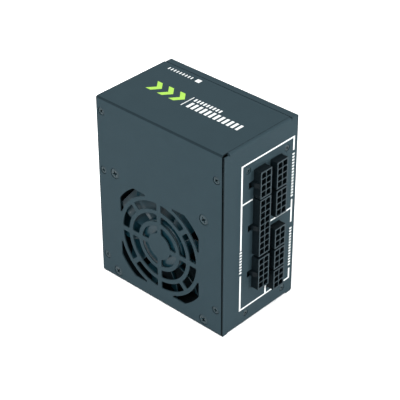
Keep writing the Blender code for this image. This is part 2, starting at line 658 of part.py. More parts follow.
def latch_notches():
    """Notches beside those openings, one for each latch rib, cut after them because the two overlap."""
    notches = []
    for _, _, column, middle, latch in SOCKETS:
        wall = column + latch * SOCKET_DEPTH / 2
        low, high = sorted((wall, wall + latch * NOTCH_REACH))
        notches.append(panel_opening(low, high, middle - NOTCH_HALF, middle + NOTCH_HALF))
    return notches


def vent_cutters():
    """Hexagonal holes of the mains panel, in staggered rows."""
    row_step = VENT_PITCH * math.sqrt(3) / 2
    cutters = []
    for row in range(VENT_ROWS):
        count = 6 if row % 2 == 0 else 5
        z = VENT_LOW_Z + row * row_step
        for i in range(count):
            y = (i - (count - 1) / 2) * VENT_PITCH
            hexagon = arc((y, z), VENT_HOLE, 90, 390, 5)
            cutters.append(slab_mesh(hexagon, CUT, (-HALF - PAST, 0, 0), Y, Z))
    return cutters


def make_base_shell():
    """Label side and end panels as one channel, with the strips, ledges, flanges, tabs and stand-offs."""
    low, high = HEIGHT - TOP_LAP + RELIEF, TOP_LAP - RELIEF
    section = channel(FRONT_IN + LAP, FRONT + PANEL_SETBACK, -HALF, HALF, BACK)
    walls = slab_mesh([(b, a) for a, b in section], high - low, (0, 0, low), X, Y)
    shell = shown("base_shell", walls, material(*PAINT))
    combine(shell, wrap_channel(), "UNION")
    for side in (-1, 1):
        for top in (False, True):
            combine(shell, panel_flange(side, top), "UNION")
    extras = [screw_tab(x * MM, z * MM) for x, z in COVER_SCREWS]
    extras += [boss(x * MM, z * MM) for x, z in BOSSES]
    extras += corner_lugs()
    combine(shell, joined_mesh(extras), "UNION")
    combine(shell, joined_mesh(socket_cutouts()), "DIFFERENCE")
    combine(shell, joined_mesh(latch_notches()), "DIFFERENCE")
    holes = vent_cutters()
    for sy in (-1, 1):
        for sz in (-1, 1):
            spot = (-HALF - PAST, sy * MOUNT_HOLES[0] / 2, HEIGHT / 2 + sz * MOUNT_HOLES[1] / 2)
            holes.append(turned_mesh(ring_profile(0, MOUNT_HOLE, 0, CUT), spot, X, 10))
    for place, body in (((INLET_Y, INLET_Z), INLET_BODY), ((SWITCH_Y, SWITCH_Z), SWITCH_BODY)):
        opening = rectangle(place, body[0] + SNAP_GAP, body[1] + SNAP_GAP)
        holes.append(slab_mesh(opening, CUT, (-HALF - PAST, 0, 0), Y, Z))
    holes += [
        countersink_mesh(PANEL_SCREW, (HALF - HEAD_SINK, y, z), -X)
        for y in PANEL_SCREW_Y
        for z in PANEL_SCREW_Z
    ]
    for x, z in COVER_SCREWS:
        profile = ring_profile(0, TAB_HOLE, 0, TAB_HOLE_DEPTH)
        holes.append(turned_mesh(profile, (x * MM, TAB_HOLE_START, z * MM), Y, 8))
    combine(shell, joined_mesh(holes), "DIFFERENCE")


def wrap_channel():
    """Label side again with its strips, each stepping down to a ledge under the cover's side."""
    top = channel(LEDGE_START, LEDGE_START, 0, HEIGHT, BACK - HIDDEN)
    half = len(top) // 2
    lower, upper = SHEET + LAP, TOP_LAP
    riser = STRIP_START + SHEET
    outside = [
        (LEDGE_START, lower),
        (STRIP_START, lower),
        (STRIP_START, 0),
        *top[1 : half - 1],
        (STRIP_START, HEIGHT),
        (STRIP_START, upper),
        (LEDGE_START, upper),
    ]
    inside = [
        (LEDGE_START, upper - SHEET),
        (riser, upper - SHEET),
        (riser, TOP_IN),
        *top[half + 1 : -1],
        (riser, SHEET),
        (riser, lower + SHEET),
        (LEDGE_START, lower + SHEET),
    ]
    start, end = -HALF + STRIP_INSETS[0], HALF - STRIP_INSETS[1]
    return slab_mesh(outside + inside, end - start, (start, 0, 0), Y, Z)


# ---------------------------------------------------------------- fan


def make_fan_frame():
    """Square frame with its bore, the motor base on four struts, and the bearing tube."""
    outline = rectangle((0, 0), FAN_SIZE, FAN_SIZE, FAN_CORNER, 4)
    holes = [circle((0, 0), FAN_BORE, 48)]
    holes += [circle((x - FAN_X, z - FAN_Z), FAN_SCREW_HOLE, 12) for x, z in fan_hole_centres()]
    start = Vector((FAN_X, FAN_FRONT + FAN_DEPTH, FAN_Z))
    frame = shown("fan_frame", slab_mesh(outline, FAN_DEPTH, start, X, Z, holes), material(*FAN_PLASTIC))
    window_end = FAN_BORE + 0.3 * MM  # the struts run on into the frame
    windows = [ring_slot(MOTOR_BASE, window_end, 90 * i + STRUT_TURN, 90, STRUT) for i in range(4)]
    disc = circle((0, 0), FAN_BORE + 1.0 * MM, 48)
    spider = slab_mesh(disc, STRUT_DEPTH, start - 0.05 * MM * Y, X, Z, windows)
    combine(frame, spider, "UNION")
    combine(frame, turned_mesh(ring_profile(*BEARING_TUBE), start, -Y, 24), "UNION")


def blade_points(index, rows=4, columns=5):
    """The blade's middle surface: rows from hub to tip, each running from the leading to the trailing edge.

    The leading edge is in front, and the trailing edge follows it clockwise as seen from the front.
    """
    surface = []
    first = math.radians(FIRST_BLADE + 360 / BLADES * index)
    for row in range(rows):
        share = row / (rows - 1)
        radius = (HUB - ROOT_SUNK) * (1 - share) + TIP * share
        lag = math.radians(TIP_LAG * share - MIDDLE_LEAD * math.sin(math.pi * share))
        chord = math.radians(ROOT_CHORD * (1 - share) + TIP_CHORD * share)
        line = []
        for column in range(columns):
            along = column / (columns - 1)
            angle = first - lag - chord * along
            deep = FAN_FRONT + BLADE_FRONT + BLADE_RUN * (along + CAMBER * math.sin(math.pi * along))
            line.append(Vector((radius * math.cos(angle), deep, radius * math.sin(angle))))
        surface.append(line)
    return surface


def blade_mesh(index):
    """One blade, thinner towards its tip."""
    middle = blade_points(index)
    rows, columns = len(middle), len(middle[0])
    bm = bmesh.new()
    sheets = []
    for sign in (-1, 1):
        sheet = []
        for i in range(rows):
            half = (ROOT_THICK + (TIP_THICK - ROOT_THICK) * i / (rows - 1)) / 2
            line = []
            for j in range(columns):
                across = middle[min(i + 1, rows - 1)][j] - middle[max(i - 1, 0)][j]
                along = middle[i][min(j + 1, columns - 1)] - middle[i][max(j - 1, 0)]
                normal = across.cross(along).normalized()
                line.append(bm.verts.new(middle[i][j] + normal * half * sign + Vector((FAN_X, 0, FAN_Z))))
            sheet.append(line)
        sheets.append(sheet)
    front, rear = sheets
    for i in range(rows - 1):
        for j in range(columns - 1):
            for sheet in sheets:
                bm.faces.new((sheet[i][j], sheet[i + 1][j], sheet[i + 1][j + 1], sheet[i][j + 1]))
    rim = [(i, 0) for i in range(rows)] + [(rows - 1, j) for j in range(1, columns)]
    rim += [(i, columns - 1) for i in range(rows - 2, -1, -1)] + [(0, j) for j in range(columns - 2, 0, -1)]
    for (a, b), (c, d) in zip(rim, rim[1:] + rim[:1]):
        bm.faces.new((front[a][b], front[c][d], rear[c][d], rear[a][b]))
    return finished(bm, "blade")


def make_fan_rotor():
    """Hub cup with its blades, and in it the magnet ring and the shaft."""
    nose = Vector((FAN_X, FAN_FRONT + NOSE, FAN_Z))
    bore, boss_side, floor, rim = SHAFT_SOCKET
    cup = [
        (0, 0),
        (HUB - 1.0 * MM, 0),
        (HUB - 0.3 * MM, 0.3 * MM),
        (HUB, 1.0 * MM),
        (HUB, CUP_DEPTH),
        (HUB - CUP_WALL, CUP_DEPTH),
        (HUB - CUP_WALL, CUP_WALL),
        (boss_side, CUP_WALL),
        (boss_side, rim),
        (bore, rim),
        (bore, floor),
        (0, floor),
    ]
    rotor = shown("fan_rotor", turned_mesh(cup, nose, Y, 33), material(*FAN_PLASTIC))
    combine(rotor, joined_mesh([blade_mesh(i) for i in range(BLADES)]), "UNION")
    shown("rotor_magnet", turned_mesh(ring_profile(*MAGNET), nose, Y, 32), material(*FERRITE))
    shown("fan_shaft", turned_mesh(ring_profile(0, SHAFT, *SHAFT_SPAN), nose, Y, 16), material(*STEEL))


def make_fan_motor():
    """The fixed half of the motor: four-pole stator and the sleeve bearing that the shaft turns in."""
    pole = []
    for i in range(4):
        turn = 90 * i
        pole += arc((0, 0), STATOR_POLE, turn - POLE_HALF, turn + POLE_HALF, 5)
        pole += arc((0, 0), STATOR_NECK, turn + POLE_HALF, turn + 90 - POLE_HALF, 1)
    start = Vector((FAN_X, FAN_FRONT + STATOR_BACK, FAN_Z))
    bore = circle((0, 0), STATOR_BORE, 20)
    shown("fan_stator", slab_mesh(pole, STATOR_DEPTH, start, X, Z, [bore]), material(*COPPER))
    front = (FAN_X, FAN_FRONT, FAN_Z)
    shown("shaft_bush", turned_mesh(ring_profile(*BUSH), front, Y, 24), material(*BRASS))


# ---------------------------------------------------------------- sockets and connector board


def socket_height(rows):
    return PITCH * rows + END_WALLS


def socket_mesh(rows, latch):
    """A header with two columns of through cells. Its latch rib stands out of one long side."""
    half, tall = SOCKET_DEPTH / 2, socket_height(rows) / 2
    rib, proud = LATCH_WIDTH / 2, half + LATCH_PROUD
    outline = [(-half, -tall), (half, -tall), (half, -rib), (proud, -rib), (proud, rib), (half, rib)]
    outline += [(half, tall), (-half, tall)]
    if latch < 0:
        outline = [(-a, b) for a, b in outline][::-1]
    cells = []
    for row in range(rows):
        for column in (-1, 1):
            centre = (column * PITCH / 2, (row - (rows - 1) / 2) * PITCH)
            cell = rectangle(centre, CELL, CELL)
            if (row + (column > 0)) % 2:
                cell = chamfered(centre)
            cells.append(cell)
    start = (SOCKET_BACK, 0, 0)
    return slab_mesh(outline, SOCKET_LENGTH, start, Y, Z, cells)


def chamfered(centre):
    """A keyed cell: a square with two corners cut."""
    a, b = centre
    h = CELL / 2
    inner = h - CELL_CHAMFER
    corners = [(h, inner), (inner, h), (-inner, h), (-h, inner), (-h, -h), (h, -h)]
    return [(a + across, b + up) for across, up in corners]


def make_sockets():
    for name, rows, column, middle, latch in SOCKETS:
        socket = shown(name, socket_mesh(rows, latch), material(*SOCKET_PLASTIC))
        socket.location = (0, column, middle)


def make_modular_board():
    """The connector board, with the pins and screw posts that are soldered to it."""
    outline = between(MODULAR_LOW, MODULAR_HIGH)
    spots = [(y, z) for y in PANEL_SCREW_Y for z in PANEL_SCREW_Z]
    start = (MODULAR_FRONT - BOARD, 0, 0)
    board = shown("modular_board", slab_mesh(outline, BOARD, start, Y, Z), material(*BOARD_GREEN))
    post = HALF - SHEET - LAP - MODULAR_FRONT
    profile = [(0, -ROOTED), (POST, -ROOTED), (POST, post), (POST_HOLE, post)]
    profile += [(POST_HOLE, post - POST_HOLE_DEPTH), (0, post - POST_HOLE_DEPTH)]
    extras = [turned_mesh(profile, (MODULAR_FRONT, y, z), X, 12) for y, z in spots]
    tip = HALF + SOCKET_PROUD - PIN_SUNK
    for _, rows, column, middle, _ in SOCKETS:
        for row in range(rows):
            for side in (-1, 1):
                y = column + side * PITCH / 2
                z = middle + (row - (rows - 1) / 2) * PITCH
                extras.append(box_mesh((MODULAR_FRONT - ROOTED, y - PIN, z - PIN), (tip, y + PIN, z + PIN)))
    combine(board, joined_mesh(extras), "UNION")


# ---------------------------------------------------------------- mains inlet and switch


def inlet_outline(width, height, cut):
    """The inlet's section, width along Y and height along Z, with its two earth-side corners cut."""
    w, h = width / 2, height / 2
    shape = [(-w, -h), (w - cut, -h), (w, -h + cut), (w, h - cut), (w - cut, h), (-w, h)]
    return [(INLET_Y + a, INLET_Z + b) for a, b in shape]


def make_inlet():
    """Snap-in mains inlet: flange, body and cavity, and the three blades that stand in it."""
    wall = -HALF - TOUCH
    face = wall - INLET_FLANGE_DEPTH
    flange = slab_mesh(
        rectangle((INLET_Y, INLET_Z), *INLET_FLANGE, INLET_CORNER), INLET_FLANGE_DEPTH, (face, 0, 0), Y, Z
    )
    inlet = shown("inlet_housing", flange, material(*SOCKET_PLASTIC))
    body = inlet_outline(*INLET_BODY, INLET_CUT)
    inside_flange = (wall - INLET_FLANGE_DEPTH / 2, 0, 0)
    combine(inlet, slab_mesh(body, INLET_BODY_DEPTH, inside_flange, Y, Z), "UNION")
    cavity = inlet_outline(*INLET_CAVITY, CAVITY_CUT)
    cuts = [slab_mesh(cavity, CAVITY_DEPTH, (face - PAST, 0, 0), Y, Z)]
    blade_start, blade_end = INLET_BLADE_X
    half_wide, half_thick = INLET_BLADE_HALF
    for name, (dy, dz) in INLET_BLADES.items():
        y, z = INLET_Y + dy * MM, INLET_Z + dz * MM
        low, high = (blade_start, y - half_wide, z - half_thick), (blade_end, y + half_wide, z + half_thick)
        shown(f"inlet_{name}_blade", box_mesh(low, high), material(*BRASS))
        slack = Vector((0, BLADE_SLACK, BLADE_SLACK))
        slot_low = Vector((wall + INLET_SLOT_START, low[1], low[2])) - slack
        cuts.append(box_mesh(slot_low, Vector((INLET_SLOT_END, high[1], high[2])) + slack))
    for cut in cuts:
        combine(inlet, cut, "DIFFERENCE")


def make_switch():
    """Snap-in rocker switch. The rocker is modelled level and then laid over to its off stop."""
    face = -HALF - TOUCH - SWITCH_FLANGE_DEPTH
    flange = rectangle((SWITCH_Y, SWITCH_Z), *SWITCH_FLANGE, SWITCH_CORNER)
    look = material(*SOCKET_PLASTIC)
    housing = shown("switch_housing", slab_mesh(flange, SWITCH_FLANGE_DEPTH, (face, 0, 0), Y, Z), look)
    body = rectangle((SWITCH_Y, SWITCH_Z), *SWITCH_BODY)
    inside_flange = (face + SWITCH_FLANGE_DEPTH / 2, 0, 0)
    combine(housing, slab_mesh(body, SWITCH_BODY_DEPTH, inside_flange, Y, Z), "UNION")
    well = rectangle((SWITCH_Y, SWITCH_Z), *SWITCH_WELL)
    combine(housing, slab_mesh(well, WELL_DEPTH, (face - PAST, 0, 0), Y, Z), "DIFFERENCE")
    pivot = Vector((PIVOT_X, SWITCH_Y, SWITCH_Z))
    seat = ring_profile(0, SEAT_RADIUS, -SEAT_HALF, SEAT_HALF)
    combine(housing, turned_mesh(seat, pivot, Z, 16), "DIFFERENCE")

    profile = [(a * MM, -b * MM) for a, b in ROCKER_SIDE]
    lever = slab_mesh(profile, 2 * ROCKER_HALF, (0, 0, ROCKER_HALF), Y, X)
    rocker = shown("switch_rocker", lever, material(*SOCKET_PLASTIC))
    pin = ring_profile(0, PIN_RADIUS, -PIN_HALF, PIN_HALF)
    combine(rocker, turned_mesh(pin, (0, 0, 0), Z, 16), "UNION")
    mesh = baked_mesh(rocker)
    rocker = shown("switch_rocker", mesh, material(*SOCKET_PLASTIC))
    rocker.location = pivot
    rocker.rotation_euler = (0, 0, -ROCKER_TILT)


# ---------------------------------------------------------------- main board and what stands on it


def make_main_board():
    holes = [circle((x * MM, z * MM), BOARD_HOLE, 12) for x, z in BOSSES]
    start = (0, MAIN_BOARD_BACK, 0)
    board = slab_mesh(between(MAIN_BOARD_LOW, MAIN_BOARD_HIGH), BOARD, start, X, Z, holes)
    shown("main_board", board, material(*BOARD_GREEN))
    holes = [circle((x * MM, z * MM), INSULATION_HOLE, 12) for x, z in BOSSES]
    start = (0, INSULATION_BACK, 0)
    sheet = slab_mesh(between(INSULATION_LOW, INSULATION_HIGH), INSULATION, start, X, Z, holes)
    shown("insulation_sheet", sheet, material(*FILM))


def capacitor(name, x, z, radius, tall, segments):
    """A can capacitor: crimped near its foot, with a domed vent end."""
    profile = [
        (0, 0),
        (radius, 0),
        (radius, GROOVE_LOW),
        (GROOVE_SHARE * radius, GROOVE),
        (radius, GROOVE_HIGH),
        (radius, tall - CAN_EDGE),
        (radius - CAN_EDGE, tall),
        (0, tall),
    ]
    shown(name, turned_mesh(profile, (x * MM, PARTS_Y, z * MM), -Y, segments), material(*SLEEVE))


def toroid_mesh(centre, axis, major, minor, turns, steps=36, around=6):
    """A wound ring core: a torus whose tube swells under each turn of wire."""
    turn = axis.to_track_quat("Z", "Y")
    bm = bmesh.new()
    rings = []
    for i in range(steps):
        angle = 2 * math.pi * i / steps
        tube = minor + WIRE_SWELL * math.cos(turns * angle)
        ring = []
        for j in range(around):
            theta = 2 * math.pi * (j + 0.5) / around
            out = major + tube * math.cos(theta)
            local = Vector((out * math.cos(angle), out * math.sin(angle), tube * math.sin(theta)))
            ring.append(bm.verts.new(Vector(centre) + turn @ local))
        rings.append(ring)
    for a, b in zip(rings, rings[1:] + rings[:1]):
        for j in range(around):
            k = (j + 1) % around
            bm.faces.new((a[j], b[j], b[k], a[k]))
    return finished(bm, "toroid")


def heatsink(name, x, low_z, high_z, fins, side):
    """An upright plate with fins along its far side."""
    thick, fin = HEATSINK_PLATE, HEATSINK_FIN
    outline = [(0, 0), (thick, 0)]
    pitch = (high_z - low_z) * MM / fins
    for i in range(fins):
        foot = (i + 0.35) * pitch
        head = foot + 0.3 * pitch
        outline += [(thick, foot), (thick + fin, foot), (thick + fin, head), (thick, head)]
    outline += [(thick, (high_z - low_z) * MM), (0, (high_z - low_z) * MM)]
    outline = [(x * MM + side * a, low_z * MM + b) for a, b in outline]
    start = (0, PARTS_Y, 0)
    mesh = slab_mesh(outline, PARTS_Y - HEATSINK_TOP, start, X, Z)
    shown(name, mesh, material(*ALUMINIUM))


def block(name, low, high, look):
    """A moulded block with eased edges."""
    mesh = box_mesh([a * MM for a in low], [a * MM for a in high])
    made = shown(name, mesh, material(*look))
    bevel = made.modifiers.new("eased_edges", "BEVEL")
    bevel.width = BLOCK_EDGE
    bevel.segments = 1


def lead(name, points, radius):
    """An insulated wire on a smooth curve through these points."""
    route = [Vector(p) * MM for p in points]
    curve = bpy.data.curves.new(name, "CURVE")
    curve.dimensions = "3D"
    curve.bevel_depth = radius
    curve.bevel_resolution = 2
    curve.use_fill_caps = True
    spline = curve.splines.new("POLY")
    smooth = []
    for i in range(len(route) - 1):
        before, after = route[max(i - 1, 0)], route[min(i + 2, len(route) - 1)]
        a, b = route[i], route[i + 1]
        for step in range(3):
            t = step / 3
            ease = 2 * a + (b - before) * t + (2 * before - 5 * a + 4 * b - after) * t**2
            smooth.append((ease + (3 * a - before - 3 * b + after) * t**3) / 2)
    smooth.append(route[-1])
    spline.points.add(len(smooth) - 1)
    for point, place in zip(spline.points, smooth):
        point.co = (*place, 1)
    made = bpy.data.objects.new(name, curve)
    curve.materials.append(material(*RUBBER))
    bpy.context.scene.collection.objects.link(made)


def make_board_parts():
    foot = PARTS_Y / MM
    for name, x, z, radius, tall, segments in CAPACITORS:
        capacitor(name, x, z, radius * MM, tall * MM, segments)
    for name, low, (high_x, high_y, high_z), look in BLOCKS:
        block(name, low, (high_x, foot if high_y is None else high_y, high_z), look)
    make_transformer_core()
    for name, x, low_z, high_z, fins, side in HEATSINKS:
        heatsink(name, x, low_z, high_z, fins, side)
    for name, x, rise, z, axis, major, minor in CHOKES:
        centre = (x * MM, PARTS_Y - rise * MM, z * MM)
        ring = toroid_mesh(centre, axis, major * MM, minor * MM, CHOKE_TURNS)
        shown(name, ring, material(*COPPER))
    for name, low in BUS_BARS.items():
        outline = [((foot if y is None else y) * MM, x * MM) for x, y in BUS_SECTION]
        start = (0, 0, (low + BUS_WIDTH) * MM)
        shown(name, slab_mesh(outline, BUS_WIDTH * MM, start, Y, X), material(*COPPER))
    for name, (radius, points) in LEADS.items():
        lead(name, points, radius * MM)


def make_transformer_core():
    """Two E halves round the winding, as one closed frame with a gap for it."""
    outline = rectangle((0, CORE_Z), *CORE_SIZE)
    window = rectangle((0, CORE_Z), *CORE_WINDOW)
    start = (0, PARTS_Y - CORE_RISE, 0)
    core = slab_mesh(outline, CORE_DEPTH, start, X, Z, [window])
    shown("transformer_core", core, material(*FERRITE))


def main():
    for old in list(bpy.data.objects):
        bpy.data.objects.remove(old)
    make_fan_cover()
    make_base_shell()
    make_screws()
    make_fan_frame()
    make_fan_rotor()
    make_fan_motor()
    make_sockets()
    make_modular_board()
    make_inlet()
    make_switch()
    make_main_board()
    make_board_parts()


main()
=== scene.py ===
"""The looks of the power supply unit: finer pieces, materials, light and camera.

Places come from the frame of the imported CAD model: the fan face looks along -Y, the connector panel along
+X, the mains panel along -X and +Z is up. Sizes are in metres, unless a comment says millimetres.
"""

import math

import bmesh
import bpy
from mathutils import Matrix, Vector
from mathutils.geometry import tessellate_polygon


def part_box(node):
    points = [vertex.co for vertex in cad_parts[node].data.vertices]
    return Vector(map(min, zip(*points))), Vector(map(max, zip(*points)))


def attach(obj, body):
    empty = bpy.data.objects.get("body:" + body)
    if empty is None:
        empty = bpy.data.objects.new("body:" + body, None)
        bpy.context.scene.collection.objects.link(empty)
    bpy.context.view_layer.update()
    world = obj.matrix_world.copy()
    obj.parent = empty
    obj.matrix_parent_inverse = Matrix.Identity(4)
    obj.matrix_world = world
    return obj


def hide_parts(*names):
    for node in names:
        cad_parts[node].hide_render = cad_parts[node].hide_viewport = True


MM = 0.001
X, Y, Z = Vector((1, 0, 0)), Vector((0, 1, 0)), Vector((0, 0, 1))
HOUSING, ROTOR, ROCKER = "housing", "rotor", "rocker"
QUARTERS = [(1, 1), (-1, 1), (-1, -1), (1, -1)]

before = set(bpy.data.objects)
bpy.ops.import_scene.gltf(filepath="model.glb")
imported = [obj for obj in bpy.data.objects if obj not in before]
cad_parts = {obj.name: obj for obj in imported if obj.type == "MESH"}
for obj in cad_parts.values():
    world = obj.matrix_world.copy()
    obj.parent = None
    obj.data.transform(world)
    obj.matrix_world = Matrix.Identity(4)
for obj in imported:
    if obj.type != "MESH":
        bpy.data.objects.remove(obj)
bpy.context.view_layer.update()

# Meshes
FLAT_ANGLE = 0.001  # radians; faces that meet at less are one flat
MERGE = 0.5e-6  # points closer than this are one
FLAT_WEIGHT = 100  # how far flat faces win over the rounds beside them
PAST = 1.0 * MM  # how far a cutting tool starts outside what it cuts
THROUGH = 3.0 * MM  # how long it is, where it cuts through sheet

# Case
COVER_LOW, COVER_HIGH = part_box("fan_cover")
SHELL_LOW, SHELL_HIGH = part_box("base_shell")
SHEET = 0.8 * MM
BEND = 1.3 * MM  # outer radius of a fold
SEAM_TOP_X = 48.5 * MM  # where the fan face ends, at its top and at its bottom
SEAM_BOTTOM_X = 49.0 * MM
SIDE_END_X = 48.0 * MM  # where the cover's top and bottom sides end
PRINT = 0.03 * MM  # thickness of the printed marks
SKIN_TOP = COVER_HIGH.z - PRINT  # the cover's top leaves room for the print, inside the CAD's box
EDGE = 0.12 * MM  # rounding of the cover's sheared edges
SHELL_EDGE = 0.1 * MM
MOUNT_HOLE = 1.75 * MM  # radius of the four holes in the mains panel
MOUNT_Y, MOUNT_Z = 25.75 * MM, 56.5 * MM  # half their spacing
MOUNT_MIDDLE = 62.5 * MM  # height of the middle between them
FOLD_TILT, END_TILT, FRONT_TILT = 0.2, 0.3, 0.5  # how far a face has to look a given way to be repainted with painted shade

# Grille, in millimetres and degrees: each ring's inner radius, outer radius and number of slots
GRILLE_RINGS = [(8.8, 13.9, 4), (16.6, 22.1, 4), (24.7, 30.1, 8)]
CORNER_RING = (32.6, 38.1)
CORNER_CLIP = 32.0  # where the corner slots are cut straight
CORNER_FLANK = 19.5  # where a corner slot's inner arc starts
SPOKE = 3.0
SLOT_CORNER = 0.9
CORNER_STEPS = 4
STEP_SPAN = 2.5  # from point to point of a slot's arcs

# Fan
BLADES = 11
BLADE_ROWS, BLADE_COLUMNS = 14, 18
HUB = 16.7 * MM
TIP = 37.2 * MM
FIRST_BLADE = -69  # degrees, where the first blade's leading edge is at the hub
BLADE_SUNK = 0.6 * MM  # how far the blades' roots run into the hub
TIP_SWEEP, BOW = 3, 5  # degrees by which the tip trails the root, and the middle bows ahead
CHORD, CHORD_FALL = 30, 9  # degrees that a blade spans at its root, and how many fewer at its tip
BLADE_START, BLADE_DEPTH = 1.8 * MM, 9.2 * MM  # from the frame's front to a blade, and on to its rear edge
CAMBER = 0.18
BLADE_HALF, BLADE_THINNING = 0.6, 0.2  # half thickness at the root in millimetres, and the tip's loss
NOSE, NOSE_EDGE, TAPER = 0.12, 0.25, 0.6  # shares: rounded length, edge's thickness, the rest's loss
HUB_RECESS = 1.0 * MM  # from the frame's front to the hub's face
BORE, BORE_INSIDE, BORE_TRIM = 38.2 * MM, 36.5 * MM, 11 * MM  # radius, a radius clear of its facets, depth
BORE_SEGMENTS, HUB_SEGMENTS = 160, 96

# Hub cup, in millimetres
CUP_WALL, CUP_LENGTH = 1.2, 10
DIMPLE, FACE_EDGE = 0.05, 5  # depth of the face's middle, and how far from the rim its flat part starts
HUB_ROUND = (0.4, 0.8, 1.2, 1.57)  # radians along the rim's round
BOSS, BOSS_END = 3.2, 3  # radius, and how far back it runs
SHAFT_BORE, SHAFT_START = 1.6, 0.7  # radius, and how far back it starts

# Screws: how many, the way they go in, whether countersunk, and in millimetres the head's radius and depth,
# the shank's radius and length, and half the length of the cross
SCREWS = {
    "cover_screw": (5, Y, True, (2.45, 1.05, 1.4, 3.2, 1.35)),
    "fan_screw": (4, Y, True, (3.35, 0.75, 1.9, 8.0, 1.8)),
    "panel_screw": (4, -X, True, (2.0, 0.75, 1.2, 3.6, 1.1)),
    "board_screw": (4, Y, False, (2.6, 1.6, 1.2, 5.5, 1.3)),
}
HEAD_GAP = 0.15 * MM  # clearance round a countersunk head
HEAD_WALL = 0.45 * MM  # straight wall of its hole
HOLE_DEPTH = 2.0 * MM
DOME_START, DOME_END = 0.6, 0.97  # where its face falls away, as shares of its radius
DOME_FALL = 0.42 * MM
PAN_HEAD = [(0.6, 0.02), (0.9, 0.25), (1, 0.6), (1, 1)]  # a board screw's head, as shares of radius and depth
RECESS = 1.5 * MM  # depth of a countersunk head's cross
CROSS_ARM, CROSS_TIP = 0.3, 0.75  # half an arm's width, as a share of its length, and its tip's share of that
THREAD_PITCH = 0.7 * MM
THREAD_ROOT, THREAD_LOW, THREAD_HIGH = 0.84, 0.45, 0.9  # share of the radius, and shares of a pitch
THREAD_END = 0.8  # share of the radius at the shank's end
SCREW_EDGE = 0.06 * MM
SCREW_TURN = 37  # degrees from one screw's cross to the next one's

# Sockets
PITCH = 4.2 * MM
SOCKET_DEPTH = 9.6 * MM
SOCKET_CORNER, SOCKET_EDGE = 0.35 * MM, 0.16 * MM
CELL = 3.6 * MM
CELL_CORNER, CELL_CHAMFER = 0.2 * MM, 0.85 * MM  # a square cell's corners, and a keyed cell's
LATCH_WIDTH, LATCH_PROUD = 3.2 * MM, 1.45 * MM
LATCH_SUNK = 0.4 * MM  # how far the latch runs into the socket's wall
LATCH_BACK, LATCH_SLOPE, LATCH_FRONT = 2 * MM, 1.6 * MM, 0.6 * MM  # from the back, the panel and the front
LATCH_TIP = 0.35 * MM  # how far it stands out at its front end
# depth of the cells' front band that is painted lighter as a highlight
RIM_DEPTH = 0.2 * MM
PIN_START = 1.7 * MM  # what is further out than this from the board's back is a pin or a post
SOCKETS = {  # rows of cells, and the latch's side
    "socket_8_pin_near": (4, -1),
    "socket_18_pin_near": (9, -1),
    "socket_10_pin_near": (5, -1),
    "socket_8_pin_far_upper": (4, 1),
    "socket_8_pin_far_lower": (4, 1),
    "socket_6_pin_far_upper": (3, 1),
    "socket_6_pin_far_middle": (3, 1),
    "socket_6_pin_far_lower": (3, 1),
}

# Rocker marks, in millimetres
MARK_OFFSET = 4.6  # from the rocker's middle
BAR_HALF, BAR_POINTS = 0.22, (-1.6, -0.8, 0, 0.8, 1.6)
RING_INNER, RING_OUTER = 1.05, 1.5
RAY_START = 5 * MM  # how far outside the rocker its surface is looked for

# Print on the connector panel, in millimetres along (y, z)
JOIN = 0.02  # between two lines that meet
STROKE_CORNER = 0.12
FRAME_LEFT, FRAME_RIGHT, FRAME_TOP, FRAME_BOTTOM = -16.45, 28.45, 111.5, 11.3
UPRIGHT, LEVEL = 1.25, 1.0  # widths of the lines
LEFT_BREAK = (36.5, 54.5)  # the uprights stop here for the bars
RIGHT_BREAKS = (18.5, 52.5), (68.5, 102.5)
UPPER_BRANCH = (-7.0, 85.2)  # end and height of the lines that run in from the frame
LOWER_BRANCH = (3.9, 62.2)
FOOT_BRANCH = (5.9, 7.2, 23.0)  # sides and top of the one that runs up from it
BAR_COLUMNS = [(FRAME_LEFT, 38.8, 8), (FRAME_RIGHT, 71.2, 15), (FRAME_RIGHT, 21.2, 14)]  # place, count
BAR_PITCH, BAR_WIDTH, BAR_HEIGHT = 2.05, 1.9, 1.1

# Print on the top side, in millimetres along (x, y) from the cover's corner
CHEVRONS, CHEVRON_START, CHEVRON_PITCH = 3, 14.5, 9.2
CHEVRON_SPAN, CHEVRON_REACH, CHEVRON_WIDTH = (26.4, 36.8), 4.2, 4.0
TOP_ROWS = [  # first mark's four sides, pitch and count
    (47, 48.9, 26.0, 32.0, 3.4, 12),
    (46, 47.2, 33.6, 36.6, 2.4, 9),
    (43.4, 44.0, 25.5, 37.0, 0, 1),
    (8, 8.9, 51.8, 54.2, 2.3, 9),
    (30.4, 33.8, 51.3, 54.7, 0, 1),
]

# Stage: each lamp's place, size and power
LAMPS = {
    "key": ((0.3, -1.1, 0.75), 0.5, 9),
    "low": ((0.8, 0.42, 0.04), 0.2, 6),
    "top": ((0.2, -0.2, 1.4), 0.6, 8),
    "back": ((0.35, 1.1, 0.4), 0.6, 7),
    "left": ((-0.9, -0.2, 0.4), 0.5, 5),
}
LAMP_TARGET = (0, 0, 0.06)
SKY = 0.98
FLOOR_SIZE, FLOOR_DROP = 4, 0.05 * MM
FLOOR_COLOUR, FLOOR_GLOW = (0.97, 0.97, 0.97), 0.15

# Camera
CAMERA_AZIMUTH = math.radians(42.73)
CAMERA_ELEVATION = math.radians(33.66)
CAMERA_DISTANCE = 0.8534
CAMERA_TARGET = Vector((0.0026, 0.0004, 0.0602))
CAMERA_LENS, CAMERA_SENSOR = 128.5, 36  # millimetres


# ---------------------------------------------------------------- mesh helpers


def finished(bm, name):
    """A mesh of what bm holds, with its faces looking out."""
    bmesh.ops.recalc_face_normals(bm, faces=bm.faces)
    mesh = bpy.data.meshes.new(name)
    bm.to_mesh(mesh)
    bm.free()
    return mesh


